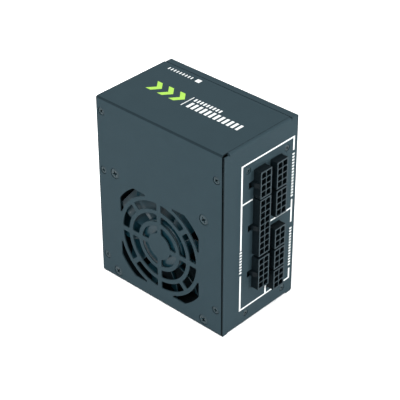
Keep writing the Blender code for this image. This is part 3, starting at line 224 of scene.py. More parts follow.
def slab_mesh(outline, thickness, origin, u, v, holes=()):
    """A flat piece: outline and holes are points along u and v from origin, and it runs along u x v."""
    loops = [outline, *holes]
    faces = tessellate_polygon([[Vector((a, b, 0)) for a, b in loop] for loop in loops])
    bm = bmesh.new()
    low = [bm.verts.new(Vector(origin) + u * a + v * b) for loop in loops for a, b in loop]
    high = [bm.verts.new(vert.co + u.cross(v) * thickness) for vert in low]
    for a, b, c in faces:
        bm.faces.new((high[a], high[b], high[c]))
        bm.faces.new((low[c], low[b], low[a]))
    start = 0
    for loop in loops:
        for i in range(len(loop)):
            a, b = start + i, start + (i + 1) % len(loop)
            bm.faces.new((low[a], low[b], high[b], high[a]))
        start += len(loop)
    bmesh.ops.dissolve_limit(bm, angle_limit=FLAT_ANGLE, verts=bm.verts, edges=bm.edges)
    return finished(bm, "slab")


def turned_mesh(profile, origin, axis, segments=48):
    """A turned solid. Its (radius, distance along axis) points start and end on the axis, or make a loop."""
    turn = axis.to_track_quat("Z", "Y")
    bm = bmesh.new()
    rings = []
    for radius, along in profile:
        ring = []
        for i in range(segments if radius > 0 else 1):
            angle = 2 * math.pi * i / segments
            spoke = Vector((radius * math.cos(angle), radius * math.sin(angle), along))
            ring.append(bm.verts.new(Vector(origin) + turn @ spoke))
        rings.append(ring)
    pairs = list(zip(rings, rings[1:]))
    if profile[0][0] > 0:
        pairs.append((rings[-1], rings[0]))
    for a, b in pairs:
        for i in range(segments):
            j = (i + 1) % segments
            corners = [a[i % len(a)], a[j % len(a)], b[j % len(b)], b[i % len(b)]]
            bm.faces.new(dict.fromkeys(corners))
    return finished(bm, "turned")


def joined_mesh(meshes):
    """One mesh of several."""
    bm = bmesh.new()
    for mesh in meshes:
        bm.from_mesh(mesh)
    return finished(bm, "joined")


def arc(centre, radius, start, end, steps):
    """Points of an arc between two angles in degrees, ends included."""
    angles = [math.radians(start + (end - start) * i / steps) for i in range(steps + 1)]
    return [(centre[0] + radius * math.cos(a), centre[1] + radius * math.sin(a)) for a in angles]


def circle(radius, segments=40):
    """Points round a circle, with no point twice."""
    return arc((0, 0), radius, 0, 360 * (1 - 1 / segments), segments - 1)


def rectangle(centre, width, height, corner, steps=5):
    """The outline of a rectangle with round corners."""
    points = []
    for quarter, (sx, sy) in enumerate(QUARTERS):
        middle = (centre[0] + sx * (width / 2 - corner), centre[1] + sy * (height / 2 - corner))
        points += arc(middle, corner, 90 * quarter, 90 * quarter + 90, steps)
    return points


def show(name, mesh, look, angle=35):
    """A new object that shows a mesh, smooth where its faces meet at less than the angle."""
    made = bpy.data.objects.new(name, mesh)
    if not mesh.materials:
        mesh.materials.append(look)
    mesh.shade_smooth()
    mesh.set_sharp_from_angle(angle=math.radians(angle))
    bpy.context.scene.collection.objects.link(made)
    return made


def combine(target, mesh, operation):
    """Adds a mesh to the target, or cuts it away."""
    helper = bpy.data.objects.new(target.name + "_tool", mesh)
    bpy.context.scene.collection.objects.link(helper)
    modifier = target.modifiers.new("combine", "BOOLEAN")
    modifier.operation = operation
    modifier.solver = "EXACT"
    modifier.object = helper
    bake(target)
    bpy.data.objects.remove(helper)


def bake(target):
    """Applies the target's modifiers."""
    graph = bpy.context.evaluated_depsgraph_get()
    mesh = bpy.data.meshes.new_from_object(target.evaluated_get(graph))
    target.modifiers.clear()
    target.data = mesh


def ease(target, width, segments=2, angle=40):
    """Rounds the sharp edges, then shades the result."""
    modifier = target.modifiers.new("ease", "BEVEL")
    modifier.width = width
    modifier.segments = segments
    modifier.limit_method = "ANGLE"
    modifier.angle_limit = math.radians(angle)
    modifier.use_clamp_overlap = True
    modifier.harden_normals = True
    level(target)


def level(target):
    """Keeps flat faces evenly shaded next to the rounds that they run into, then applies the modifiers."""
    modifier = target.modifiers.new("level", "WEIGHTED_NORMAL")
    modifier.weight = FLAT_WEIGHT
    modifier.keep_sharp = True
    bake(target)


def repaint(piece, look, chosen):
    """Gives another material to the faces that chosen(middle, normal) picks."""
    index = len(piece.data.materials)
    piece.data.materials.append(look)
    for face in piece.data.polygons:
        if chosen(face.center, face.normal):
            face.material_index = index


def stand_for(piece, body, slot, *nodes):
    """The piece rides on a body and replaces CAD nodes; the slot argument is not used."""
    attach(piece, body)
    if nodes:
        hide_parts(*nodes)
    return piece


def refined(node, name, body, slot, look, width=0.0, angle=30):
    """A CAD node's shape as a finer piece: flats made whole, edges eased, rounds smooth."""
    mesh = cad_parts[node].data.copy()
    bm = bmesh.new()
    bm.from_mesh(mesh)
    bmesh.ops.remove_doubles(bm, verts=bm.verts, dist=MERGE)
    bmesh.ops.dissolve_limit(bm, angle_limit=FLAT_ANGLE, verts=bm.verts, edges=bm.edges)
    bm.to_mesh(mesh)
    bm.free()
    mesh.materials.clear()
    piece = show(name, mesh, look, angle)
    if width:
        ease(piece, width)
    return stand_for(piece, body, slot, node)


def centre(node):
    """Middle of a node's box."""
    low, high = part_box(node)
    return (low + high) / 2


# ---------------------------------------------------------------- materials


def shader(name, colour, roughness, metallic=0.0, gloss=0.5):
    """A plain material, with its node tree and its Principled BSDF."""
    made = bpy.data.materials.new(name)
    made.use_nodes = True
    principled = made.node_tree.nodes["Principled BSDF"]
    principled.inputs["Base Color"].default_value = (*colour, 1)
    principled.inputs["Roughness"].default_value = roughness
    principled.inputs["Metallic"].default_value = metallic
    principled.inputs["Specular IOR Level"].default_value = gloss
    return made, made.node_tree, principled


def noise(tree, scale, detail=3.0, stretch=(1, 1, 1)):
    """Noise in object space, with its grain size set by scale (per metre)."""
    place = tree.nodes.new("ShaderNodeTexCoord")
    mapping = tree.nodes.new("ShaderNodeMapping")
    mapping.inputs["Scale"].default_value = stretch
    made = tree.nodes.new("ShaderNodeTexNoise")
    made.inputs["Scale"].default_value = scale
    made.inputs["Detail"].default_value = detail
    tree.links.new(place.outputs["Object"], mapping.inputs["Vector"])
    tree.links.new(mapping.outputs["Vector"], made.inputs["Vector"])
    return made.outputs["Fac"]


def ranged(tree, value, low, high):
    """The middle part of a noise, spread from low to high."""
    made = tree.nodes.new("ShaderNodeMapRange")
    made.inputs["From Min"].default_value = 0.3
    made.inputs["From Max"].default_value = 0.7
    made.inputs["To Min"].default_value = low
    made.inputs["To Max"].default_value = high
    tree.links.new(value, made.inputs["Value"])
    return made.outputs["Result"]


def blended(tree, fac, dark, light):
    """A colour between two, by fac."""
    made = tree.nodes.new("ShaderNodeMix")
    made.data_type = "RGBA"
    made.inputs["A"].default_value = (*dark, 1)
    made.inputs["B"].default_value = (*light, 1)
    tree.links.new(fac, made.inputs["Factor"])
    return made.outputs["Result"]


def bumped(tree, principled, height, strength, distance):
    """Relief from a height."""
    made = tree.nodes.new("ShaderNodeBump")
    made.inputs["Strength"].default_value = strength
    made.inputs["Distance"].default_value = distance
    tree.links.new(height, made.inputs["Height"])
    tree.links.new(made.outputs["Normal"], principled.inputs["Normal"])


GRAIN_HEIGHT = 0.06 * MM
SLOW_SCALE, SLOW_DETAIL, FINE_DETAIL = 90, 4, 2
ROUGH_SPREAD, ROUGH_LEAST = 0.07, 0.04


def grained(name, colour, roughness, metallic, grain, bump, spread, stretch=(1, 1, 1), gloss=0.5):
    """A surface with fine grain in its relief and roughness, and slow variation in its colour."""
    made, tree, principled = shader(name, colour, roughness, metallic, gloss)
    slow = noise(tree, SLOW_SCALE, SLOW_DETAIL)
    fine = noise(tree, grain, FINE_DETAIL, stretch)
    dark = [c * (1 - spread) for c in colour]
    light = [min(1, c * (1 + spread)) for c in colour]
    tree.links.new(blended(tree, slow, dark, light), principled.inputs["Base Color"])
    smoothest, roughest = max(ROUGH_LEAST, roughness - ROUGH_SPREAD), min(1, roughness + ROUGH_SPREAD)
    tree.links.new(ranged(tree, fine, smoothest, roughest), principled.inputs["Roughness"])
    bumped(tree, principled, fine, bump, GRAIN_HEIGHT)
    return made


WAVE_LENGTH = 0.314  # metres from band to band at a scale of 1
WAVE_DISTORTION, WAVE_RELIEF = 0.3, 0.6


def banded(name, colour, dark, period, roughness, metallic):
    """Wire turns: bands of one period along Z, with a round relief."""
    made, tree, principled = shader(name, colour, roughness, metallic)
    place = tree.nodes.new("ShaderNodeTexCoord")
    wave = tree.nodes.new("ShaderNodeTexWave")
    wave.bands_direction = "Z"
    wave.inputs["Scale"].default_value = WAVE_LENGTH / period
    wave.inputs["Distortion"].default_value = WAVE_DISTORTION
    tree.links.new(place.outputs["Object"], wave.inputs["Vector"])
    tree.links.new(blended(tree, wave.outputs["Fac"], dark, colour), principled.inputs["Base Color"])
    bumped(tree, principled, wave.outputs["Fac"], WAVE_RELIEF, period / 3)
    return made


def board_look():
    """Solder mask: green blocks of two shades with dark lines between them, as if over tracks."""
    made, tree, principled = shader("board_green", (0.02, 0.12, 0.05), 0.35)
    place = tree.nodes.new("ShaderNodeTexCoord")
    brick = tree.nodes.new("ShaderNodeTexBrick")
    brick.inputs["Scale"].default_value = 260
    brick.inputs["Mortar Size"].default_value = 0.03
    brick.inputs["Color1"].default_value = (0.015, 0.10, 0.04, 1)
    brick.inputs["Color2"].default_value = (0.025, 0.15, 0.065, 1)
    brick.inputs["Mortar"].default_value = (0.01, 0.06, 0.03, 1)
    tree.links.new(place.outputs["Object"], brick.inputs["Vector"])
    tree.links.new(brick.outputs["Color"], principled.inputs["Base Color"])
    bumped(tree, principled, brick.outputs["Fac"], 0.2, 0.05 * MM)
    principled.inputs["Coat Weight"].default_value = 0.4
    return made


# Colour, roughness, metallic, grain scale, relief, colour spread
COAT = grained("black_powder_coat", (0.0197, 0.0355, 0.0435), 0.65, 0.0, 3200, 0.35, 0.06, gloss=0.05)
# Painted shade: a darker copy of the coat, for the folds where the cover's faces turn
FOLD_PAINTED_SHADE = grained("fold_painted_shade", (0.009, 0.018, 0.023), 0.65, 0.0, 3200, 0.35, 0.06, gloss=0.05)
# Painted shade: a near-black copy of the coat, for the sheet ends in the seam between cover and shell
SEAM_PAINTED_SHADE = grained("seam_painted_shade", (0.004, 0.008, 0.010), 0.65, 0.0, 3200, 0.35, 0.06, gloss=0.05)
SCREW = grained("black_screw", (0.009, 0.025, 0.032), 0.4, 0.0, 1800, 0.15, 0.15, gloss=0.25)
FAN = grained("fan_plastic", (0.003, 0.022, 0.032), 0.36, 0.0, 900, 0.1, 0.1, gloss=0.24)
# Black plastic of the fan's frame, darkened further as painted shade inside the bore
FRAME_PLASTIC_PAINTED_SHADE = grained("frame_plastic_painted_shade", (0.001, 0.0025, 0.0035), 0.7, 0.0, 900, 0.1, 0.1, gloss=0.03)
NYLON = grained("socket_plastic", (0.002, 0.005, 0.0068), 0.5, 0.0, 1500, 0.15, 0.15, gloss=0.11)
# Painted highlight: a lighter copy of the socket plastic, for the front rims of the cells
RIM_PAINTED_HIGHLIGHT = grained("socket_rim_painted_highlight", (0.020, 0.033, 0.040), 0.55, 0.0, 1500, 0.15, 0.15, gloss=0.1)
TIN = grained("tinned_pin", (0.62, 0.6, 0.55), 0.3, 1.0, 2500, 0.1, 0.1)
BRASS = grained("blade_brass", (0.72, 0.66, 0.5), 0.26, 1.0, 2500, 0.1, 0.08, (1, 8, 8))
STEEL = grained("bright_steel", (0.6, 0.6, 0.6), 0.25, 1.0, 2500, 0.1, 0.06)
ALUMINIUM = grained("heatsink_aluminium", (0.36, 0.37, 0.38), 0.42, 1.0, 1200, 0.2, 0.08, (1, 0.1, 1))
FERRITE = grained("ferrite", (0.055, 0.055, 0.06), 0.7, 0.0, 2200, 0.5, 0.2)
SLEEVE = grained("capacitor_sleeve", (0.02, 0.03, 0.06), 0.28, 0.0, 500, 0.08, 0.1)
YELLOW = grained("yellow_plastic", (0.7, 0.5, 0.06), 0.45, 0.0, 900, 0.15, 0.08)
FILM = grained("insulation_film", (0.78, 0.78, 0.72), 0.35, 0.0, 400, 0.1, 0.05)
RUBBER = grained("wire_insulation", (0.02, 0.02, 0.02), 0.5, 0.0, 900, 0.15, 0.1)
WIRE = banded("copper", (0.62, 0.24, 0.1), (0.2, 0.06, 0.03), 0.7 * MM, 0.3, 0.9)
BOARD = board_look()
WHITE = grained("white_print", (0.6, 0.63, 0.63), 0.5, 0.0, 2500, 0.1, 0.03)
LIME = grained("lime_print", (0.26, 0.48, 0.045), 0.5, 0.0, 2500, 0.1, 0.05)


# ---------------------------------------------------------------- cover


def channel(end, low, high, back, radius, steps=8):
    """A bent channel's section, open towards +a."""
    inner = radius - SHEET
    web = back + radius
    outside = [(end, low)]
    outside += arc((web, low + radius), radius, 270, 180, steps)
    outside += arc((web, high - radius), radius, 180, 90, steps)
    outside.append((end, high))
    inside = [(end, high - SHEET)]
    inside += arc((web, high - radius), inner, 90, 180, steps)
    inside += arc((web, low + radius), inner, 180, 270, steps)
    inside.append((end, low + SHEET))
    return outside + inside


def ring_slot(inner, outer, middle, span):
    """A slot of a ring: an arc band whose ends run beside the spokes, with round corners."""
    points = []
    steps = max(10, round(span / STEP_SPAN))
    for radius, sign in ((inner, 1), (outer, -1)):
        run = []
        for turned in (-1, 1):
            corner = []
            for i in range(CORNER_STEPS + 1):
                lean = math.radians(90 * i / CORNER_STEPS)
                along = SPOKE / 2 + SLOT_CORNER * (1 - math.sin(lean))
                out = radius + sign * SLOT_CORNER * (1 - math.cos(lean))
                corner.append((out, math.degrees(math.asin(along / out))))
            side = [(out, middle + turned * (span / 2 - trim)) for out, trim in corner]
            run.append(side[::-1] if turned < 0 else side)
        low, high = run[0][-1][1], run[1][0][1]
        between = [(radius, low + (high - low) * i / steps) for i in range(1, steps)]
        path = run[0] + between + run[1]
        points += path if sign > 0 else path[::-1]
    return [(r * math.cos(math.radians(a)), r * math.sin(math.radians(a))) for r, a in points]


def corner_slot(quarter):
    """A slot in a corner of the grille: part of a ring, cut straight on two sides."""
    inner, outer = CORNER_RING
    edge_out = math.degrees(math.acos(CORNER_CLIP / outer))
    points = arc((0, 0), outer, edge_out, 90 - edge_out, 24)
    points.append((math.cos(math.radians(90 - CORNER_FLANK)) * inner, CORNER_CLIP))
    points += arc((0, 0), inner, 90 - CORNER_FLANK, CORNER_FLANK, 24)
    points.append((CORNER_CLIP, math.sin(math.radians(CORNER_FLANK)) * inner))
    turn = Matrix.Rotation(math.radians(90 * quarter), 2)
    return [tuple(turn @ Vector(p)) for p in points]


def grille_outlines():
    """Every slot of the grille, in millimetres from the fan's axis."""
    outlines = [
        ring_slot(inner, outer, 360 / count * (i + 0.5), 360 / count)
        for inner, outer, count in GRILLE_RINGS
        for i in range(count)
    ]
    return outlines + [corner_slot(quarter) for quarter in range(4)]


def nodes_of(family):
    """The nodes of a family of screws."""
    return [f"{family}_{i}" for i in range(1, SCREWS[family][0] + 1)]


def countersink(family, spot):
    """The hole of a countersunk screw."""
    _, into, _, sizes = SCREWS[family]
    head, depth, shank = (s * MM for s in sizes[:3])
    wide, narrow = head + HEAD_GAP, shank + HEAD_GAP
    profile = [(0, -PAST), (wide, -PAST), (wide, HEAD_WALL)]
    profile += [(narrow, depth), (narrow, HOLE_DEPTH), (0, HOLE_DEPTH)]
    return turned_mesh(profile, spot, into)


def head_spot(node):
    """Middle of a screw head's top, for a screw in the fan face."""
    low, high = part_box(node)
    return Vector(((low.x + high.x) / 2, low.y, (low.z + high.z) / 2))


def make_cover():
    """The cover: a bent channel with a leaning front edge, the grille's slots and the screws' holes."""
    fan = centre("fan_frame")
    section = channel(COVER_HIGH.y, COVER_LOW.z, SKIN_TOP, COVER_LOW.y, BEND)
    length = COVER_HIGH.x - COVER_LOW.x + PAST
    cover = show("fan_cover_skin", slab_mesh(section, length, (COVER_LOW.x, 0, 0), Y, Z), COAT)
    low, high = COVER_LOW.z - PAST, COVER_HIGH.z + PAST
    behind, beyond = COVER_LOW.y + BEND, COVER_HIGH.y + PAST
    past = COVER_HIGH.x + THROUGH
    sides = [(SIDE_END_X, behind), (past, behind), (past, beyond), (SIDE_END_X, beyond)]
    combine(cover, slab_mesh(sides, high - low, (0, 0, low), X, Y), "DIFFERENCE")
    lean = [(low, SEAM_BOTTOM_X), (low, past), (high, past), (high, SEAM_TOP_X)]
    combine(cover, slab_mesh(lean, THROUGH, (0, COVER_LOW.y - PAST, 0), Z, X), "DIFFERENCE")
    start = (fan.x, COVER_LOW.y - PAST, fan.z)
    outlines = [[(b * MM, a * MM) for a, b in outline][::-1] for outline in grille_outlines()]
    holes = [slab_mesh(outline, THROUGH, start, Z, X) for outline in outlines]
    for family in ("cover_screw", "fan_screw"):
        holes += [countersink(family, head_spot(node)) for node in nodes_of(family)]
    combine(cover, joined_mesh(holes), "DIFFERENCE")
    ease(cover, EDGE)
    # Painted shade: the folds between the fan face and its top and bottom take the darker coat
    repaint(cover, FOLD_PAINTED_SHADE, lambda at, n: at.y < behind and n.y < -FOLD_TILT and abs(n.z) > FOLD_TILT)
    # Painted shade: the fan face's end at the seam takes the near-black coat
    repaint(cover, SEAM_PAINTED_SHADE, lambda at, n: at.x > SIDE_END_X and n.x > END_TILT)
    stand_for(cover, HOUSING, "black_powder_coat", "fan_cover")


# ---------------------------------------------------------------- screws


def head_profile(head, depth, countersunk):
    """The face of a screw's head, out to its rim: domed if countersunk, else a pan head."""
    if not countersunk:
        return [(0, 0)] + [(head * a, depth * b) for a, b in PAN_HEAD]
    quarter = arc((0, 0), 1, 90, 0, 6)
    dome = [(head * (DOME_START + (DOME_END - DOME_START) * a), DOME_FALL * (1 - b)) for a, b in quarter]
    return [(0, 0)] + dome


def cross_outline(reach):
    """A cross recess whose arms narrow towards their tips."""
    arm = reach * CROSS_ARM
    tip = arm * CROSS_TIP
    outline = []
    for sx, sy in QUARTERS:
        corner = [(sx * reach, sy * tip), (sx * arm, sy * arm), (sx * tip, sy * reach)]
        outline += corner if sx * sy > 0 else corner[::-1]
    return outline


def screw_mesh(sizes, countersunk):
    """A cross-head screw with a thread, its head's top at the origin and its shank along +Z."""
    head, depth, shank, length, reach = (s * MM for s in sizes)
    profile = head_profile(head, depth, countersunk)
    profile.append((shank, depth))
    for i in range(int((length - depth) / THREAD_PITCH)):
        at = depth + THREAD_PITCH * i
        profile.append((shank * THREAD_ROOT, at + THREAD_PITCH * THREAD_LOW))
        profile.append((shank, at + THREAD_PITCH * THREAD_HIGH))
    profile += [(shank * THREAD_END, length), (0, length)]
    body = show("screw", turned_mesh(profile, (0, 0, 0), Z), SCREW)
    deep = RECESS if countersunk else depth / 2
    combine(body, slab_mesh(cross_outline(reach), deep + PAST, (0, 0, -PAST), X, Y), "DIFFERENCE")
    ease(body, SCREW_EDGE, 2, 50)
    mesh = body.data
    bpy.data.objects.remove(body)
    return mesh


def make_screws():
    """Every screw, each with its cross turned another way."""
    for family, (_, into, countersunk, sizes) in SCREWS.items():
        mesh = screw_mesh(sizes, countersunk)
        for i, node in enumerate(nodes_of(family), 1):
            low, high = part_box(node)
            spot = (low + high) / 2
            spot -= into * abs((high - low).dot(into)) / 2
            piece = show(f"{node}_detailed", mesh.copy(), SCREW, 35)
            piece.rotation_mode = "QUATERNION"
            turn = Matrix.Rotation(math.radians(SCREW_TURN * i), 4, "Z").to_quaternion()
            piece.rotation_quaternion = into.to_track_quat("Z", "Y") @ turn
            piece.location = spot
            stand_for(piece, HOUSING, "black_screw", node)


# ---------------------------------------------------------------- fan


def blade_middle(index, origin, front):
    """The middle surface of a swept, twisted blade, as rows of points from its root to its tip."""
    middle = []
    first = math.radians(FIRST_BLADE + 360 / BLADES * index)
    for row in range(BLADE_ROWS):
        share = row / (BLADE_ROWS - 1)
        radius = (HUB - BLADE_SUNK) * (1 - share) + TIP * share
        sweep = math.radians(TIP_SWEEP) * share - math.radians(BOW) * math.sin(math.pi * share)
        chord = math.radians(CHORD - CHORD_FALL * share)
        line = []
        for column in range(BLADE_COLUMNS):
            along = column / (BLADE_COLUMNS - 1)
            angle = first - sweep - chord * along
            deep = front + BLADE_START + BLADE_DEPTH * (along + CAMBER * math.sin(math.pi * along))
            x, z = origin.x + radius * math.cos(angle), origin.z + radius * math.sin(angle)
            line.append(Vector((x, deep, z)))
        middle.append(line)
    return middle


def blade_mesh(index, origin, front):
    """A blade with a round leading edge and a thin trailing one."""
    middle = blade_middle(index, origin, front)
    last_row, last_column = BLADE_ROWS - 1, BLADE_COLUMNS - 1
    bm = bmesh.new()
    sheets = []
    for sign in (-1, 1):
        sheet = []
        for i in range(BLADE_ROWS):
            half = BLADE_HALF - BLADE_THINNING * i / last_row
            line = []
            for j in range(BLADE_COLUMNS):
                along = j / last_column
                nose = math.sqrt(max(0, 1 - (1 - min(1, along / NOSE)) ** 2))
                shape = NOSE_EDGE + (1 - NOSE_EDGE) * nose * (1 - TAPER * along)
                across = middle[min(i + 1, last_row)][j] - middle[max(i - 1, 0)][j]
                run = middle[i][min(j + 1, last_column)] - middle[i][max(j - 1, 0)]
                normal = across.cross(run).normalized()
                line.append(bm.verts.new(middle[i][j] + normal * half * shape * sign * MM))
            sheet.append(line)
        sheets.append(sheet)
    for i in range(last_row):
        for j in range(last_column):
            for sheet in sheets:
                bm.faces.new((sheet[i][j], sheet[i + 1][j], sheet[i + 1][j + 1], sheet[i][j + 1]))
    rim = [(i, 0) for i in range(BLADE_ROWS)] + [(last_row, j) for j in range(1, BLADE_COLUMNS)]
    rim += [(i, last_column) for i in range(last_row - 1, -1, -1)]
    rim += [(0, j) for j in range(last_column - 1, 0, -1)]
    front_sheet, rear = sheets
    for (a, b), (c, d) in zip(rim, rim[1:] + rim[:1]):
        bm.faces.new((front_sheet[a][b], front_sheet[c][d], rear[c][d], rear[a][b]))
    return finished(bm, "blade")


def hub_profile():
    """The hub cup's section, as (radius, distance behind its face), with a boss for the shaft."""
    hub = HUB / MM
    wall = hub - CUP_WALL
    profile = [(0, DIMPLE), (hub - FACE_EDGE, 0), (wall, 0)]
    profile += [(wall + CUP_WALL * math.sin(a), CUP_WALL - CUP_WALL * math.cos(a)) for a in HUB_ROUND]
    profile += [(hub, CUP_LENGTH), (wall, CUP_LENGTH), (wall, CUP_WALL), (BOSS, CUP_WALL)]
    profile += [(BOSS, BOSS_END), (SHAFT_BORE, BOSS_END), (SHAFT_BORE, SHAFT_START), (0, SHAFT_START)]
    return [(radius * MM, along * MM) for radius, along in profile]


def bore_ring(origin, front):
    """A ring that trims the bore's facets to a true circle and leaves the motor alone."""
    loop = [(BORE_INSIDE, -PAST), (BORE, -PAST), (BORE, BORE_TRIM), (BORE_INSIDE, BORE_TRIM)]
    return turned_mesh(loop, (origin.x, front, origin.z), Y, BORE_SEGMENTS)


def make_fan():
    """The fan: hub and blades in one piece, the frame round them and the motor's parts."""
    origin = centre("fan_frame")
    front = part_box("fan_frame")[0].y
    nose = Vector((origin.x, front + HUB_RECESS, origin.z))
    impeller = show("fan_impeller", turned_mesh(hub_profile(), nose, Y, HUB_SEGMENTS), FAN)
    combine(impeller, joined_mesh([blade_mesh(i, origin, front) for i in range(BLADES)]), "UNION")
    impeller.data.shade_smooth()
    impeller.data.set_sharp_from_angle(angle=math.radians(40))
    stand_for(impeller, ROTOR, "fan_plastic", "fan_rotor")

    # The frame's own black plastic is darkened further as painted shade; the impeller keeps the lighter fan
    # plastic
    shroud = refined("fan_frame", "fan_shroud", HOUSING, "fan_plastic", FRAME_PLASTIC_PAINTED_SHADE)
    combine(shroud, bore_ring(origin, front), "DIFFERENCE")
    ease(shroud, 0.25 * MM)
    refined("rotor_magnet", "rotor_magnet_ring", ROTOR, "ferrite", FERRITE)
    refined("fan_shaft", "fan_shaft_pin", ROTOR, "bright_steel", STEEL, 0.1 * MM)
    refined("fan_stator", "fan_stator_coils", HOUSING, "copper", WIRE, 0.3 * MM)
    refined("shaft_bush", "shaft_bush_sleeve", HOUSING, "blade_brass", BRASS)


# ---------------------------------------------------------------- sockets


def keyed_cell(middle, keyed):
    """A cell's outline: square, or with its two upper corners cut off."""
    if not keyed:
        return rectangle(middle, CELL, CELL, CELL_CORNER, 2)
    a, b = middle
    half = CELL / 2
    cut = CELL_CHAMFER
    upper = [(a + half, b + half - cut), (a + half - cut, b + half)]
    upper += [(a - half + cut, b + half), (a - half, b + half - cut)]
    return upper + [(a - half, b - half), (a + half, b - half)]


def latch_outline(low_x, high_x, wall, side):
    """A latch beside a socket, seen along its height: it slopes down to the wall at its front."""
    back, slope, front = low_x + LATCH_BACK, SHELL_HIGH.x + LATCH_SLOPE, high_x - LATCH_FRONT
    sunk, proud = wall - side * LATCH_SUNK, wall + side * LATCH_PROUD
    outline = [(back, sunk), (back, proud), (slope, proud), (front, wall + side * LATCH_TIP), (front, sunk)]
    return outline if side < 0 else outline[::-1]


def make_socket(node, rows, latch):
    """A socket with two columns of cells, every other one keyed, and its latch."""
    low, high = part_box(node)
    column = high.y - SOCKET_DEPTH / 2 if latch < 0 else low.y + SOCKET_DEPTH / 2
    middle = (low.z + high.z) / 2
    outline = rectangle((column, middle), SOCKET_DEPTH, high.z - low.z, SOCKET_CORNER, 4)
    cells = []
    for row in range(rows):
        for side in (-1, 1):
            spot = (column + side * PITCH / 2, middle + (row - (rows - 1) / 2) * PITCH)
            cells.append(keyed_cell(spot, (row + (side > 0)) % 2 == 1))
    body = show(f"{node}_housing", slab_mesh(outline, high.x - low.x, (low.x, 0, 0), Y, Z, cells), NYLON)
    ramp = latch_outline(low.x, high.x, column + latch * SOCKET_DEPTH / 2, latch)
    combine(body, slab_mesh(ramp, LATCH_WIDTH, (0, 0, middle - LATCH_WIDTH / 2), X, Y), "UNION")
    ease(body, SOCKET_EDGE)
    # Painted highlight: the front band of the socket's walls takes the lighter plastic
    repaint(body, RIM_PAINTED_HIGHLIGHT, lambda at, n: at.x > high.x - RIM_DEPTH)
    stand_for(body, HOUSING, "socket_plastic", node)


def make_sockets():
    """The eight sockets, and their board with its pins."""
    for node, (rows, latch) in SOCKETS.items():
        make_socket(node, rows, latch)
    board = refined("modular_board", "connector_board", HOUSING, "board_green", BOARD)
    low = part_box("modular_board")[0].x
    repaint(board, TIN, lambda at, n: at.x > low + PIN_START)


# ---------------------------------------------------------------- shell, inlet and switch


def make_shell():
    """The rear shell, with its faceted holes trimmed to true circles."""
    shell = refined("base_shell", "rear_shell", HOUSING, "black_powder_coat", COAT)
    hole = [(0, 0), (MOUNT_HOLE, 0), (MOUNT_HOLE, THROUGH), (0, THROUGH)]
    holes = []
    for sy in (-1, 1):
        for sz in (-1, 1):
            spot = (SHELL_LOW.x - PAST, sy * MOUNT_Y, MOUNT_MIDDLE + sz * MOUNT_Z)
            holes.append(turned_mesh(hole, spot, X))
    for i in range(1, SCREWS["panel_screw"][0] + 1):
        low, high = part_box(f"panel_screw_{i}")
        spot = Vector((high.x, (low.y + high.y) / 2, (low.z + high.z) / 2))
        holes.append(countersink("panel_screw", spot))
    combine(shell, joined_mesh(holes), "DIFFERENCE")
    ease(shell, SHELL_EDGE)
    wall, front = SHELL_HIGH.x - BEND, COVER_LOW.y + PAST
    # Painted shade: the panel's sheet end at the front seam takes the near-black coat
    repaint(shell, SEAM_PAINTED_SHADE, lambda at, n: at.x > wall and n.y < -FRONT_TILT and at.y < front)


def make_mains_side():
    """The mains inlet, the switch and the leads."""
    refined("inlet_housing", "inlet_moulding", HOUSING, "socket_plastic", NYLON, 0.35 * MM)
    for name in ("earth", "live", "neutral"):
        refined(f"inlet_{name}_blade", f"inlet_{name}_contact", HOUSING, "blade_brass", BRASS, 0.4 * MM)
    refined("switch_housing", "switch_moulding", HOUSING, "socket_plastic", NYLON, 0.3 * MM)
    refined("switch_rocker", "switch_rocker_cap", ROCKER, "socket_plastic", NYLON, 0.35 * MM)
    for name in ("live", "neutral", "fan"):
        refined(f"{name}_lead", f"{name}_wire", HOUSING, "wire_insulation", RUBBER)


def make_rocker_marks():
    """The on and off marks of the rocker: a bar on one half and a ring on the other, on its curved faces."""
    cap = bpy.data.objects["switch_rocker_cap"]
    low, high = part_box("switch_rocker")
    middle = (low + high) / 2
    bar = [[(-BAR_HALF, z), (BAR_HALF, z)] for z in BAR_POINTS]
    ring = [list(pair) for pair in zip(circle(RING_INNER), circle(RING_OUTER))]
    ring.append(ring[0])
    bm = bmesh.new()
    for side, pairs in ((-1, bar), (1, ring)):
        rows = []
        for pair in pairs:
            row = []
            for y, z in pair:
                across, up = middle.y + (side * MARK_OFFSET + y) * MM, middle.z + z * MM
                hit, place, normal, _ = cap.ray_cast(Vector((low.x - RAY_START, across, up)), X)
                if not hit:
                    raise RuntimeError("the rocker has no face under its mark")
                row.append(bm.verts.new(place + normal * PRINT))
            rows.append(row)
        for a, b in zip(rows, rows[1:]):
            bm.faces.new((a[0], a[1], b[1], b[0]))
    marks = show("rocker_marks", finished(bm, "rocker_marks"), WHITE)
    stand_for(marks, ROCKER, None)


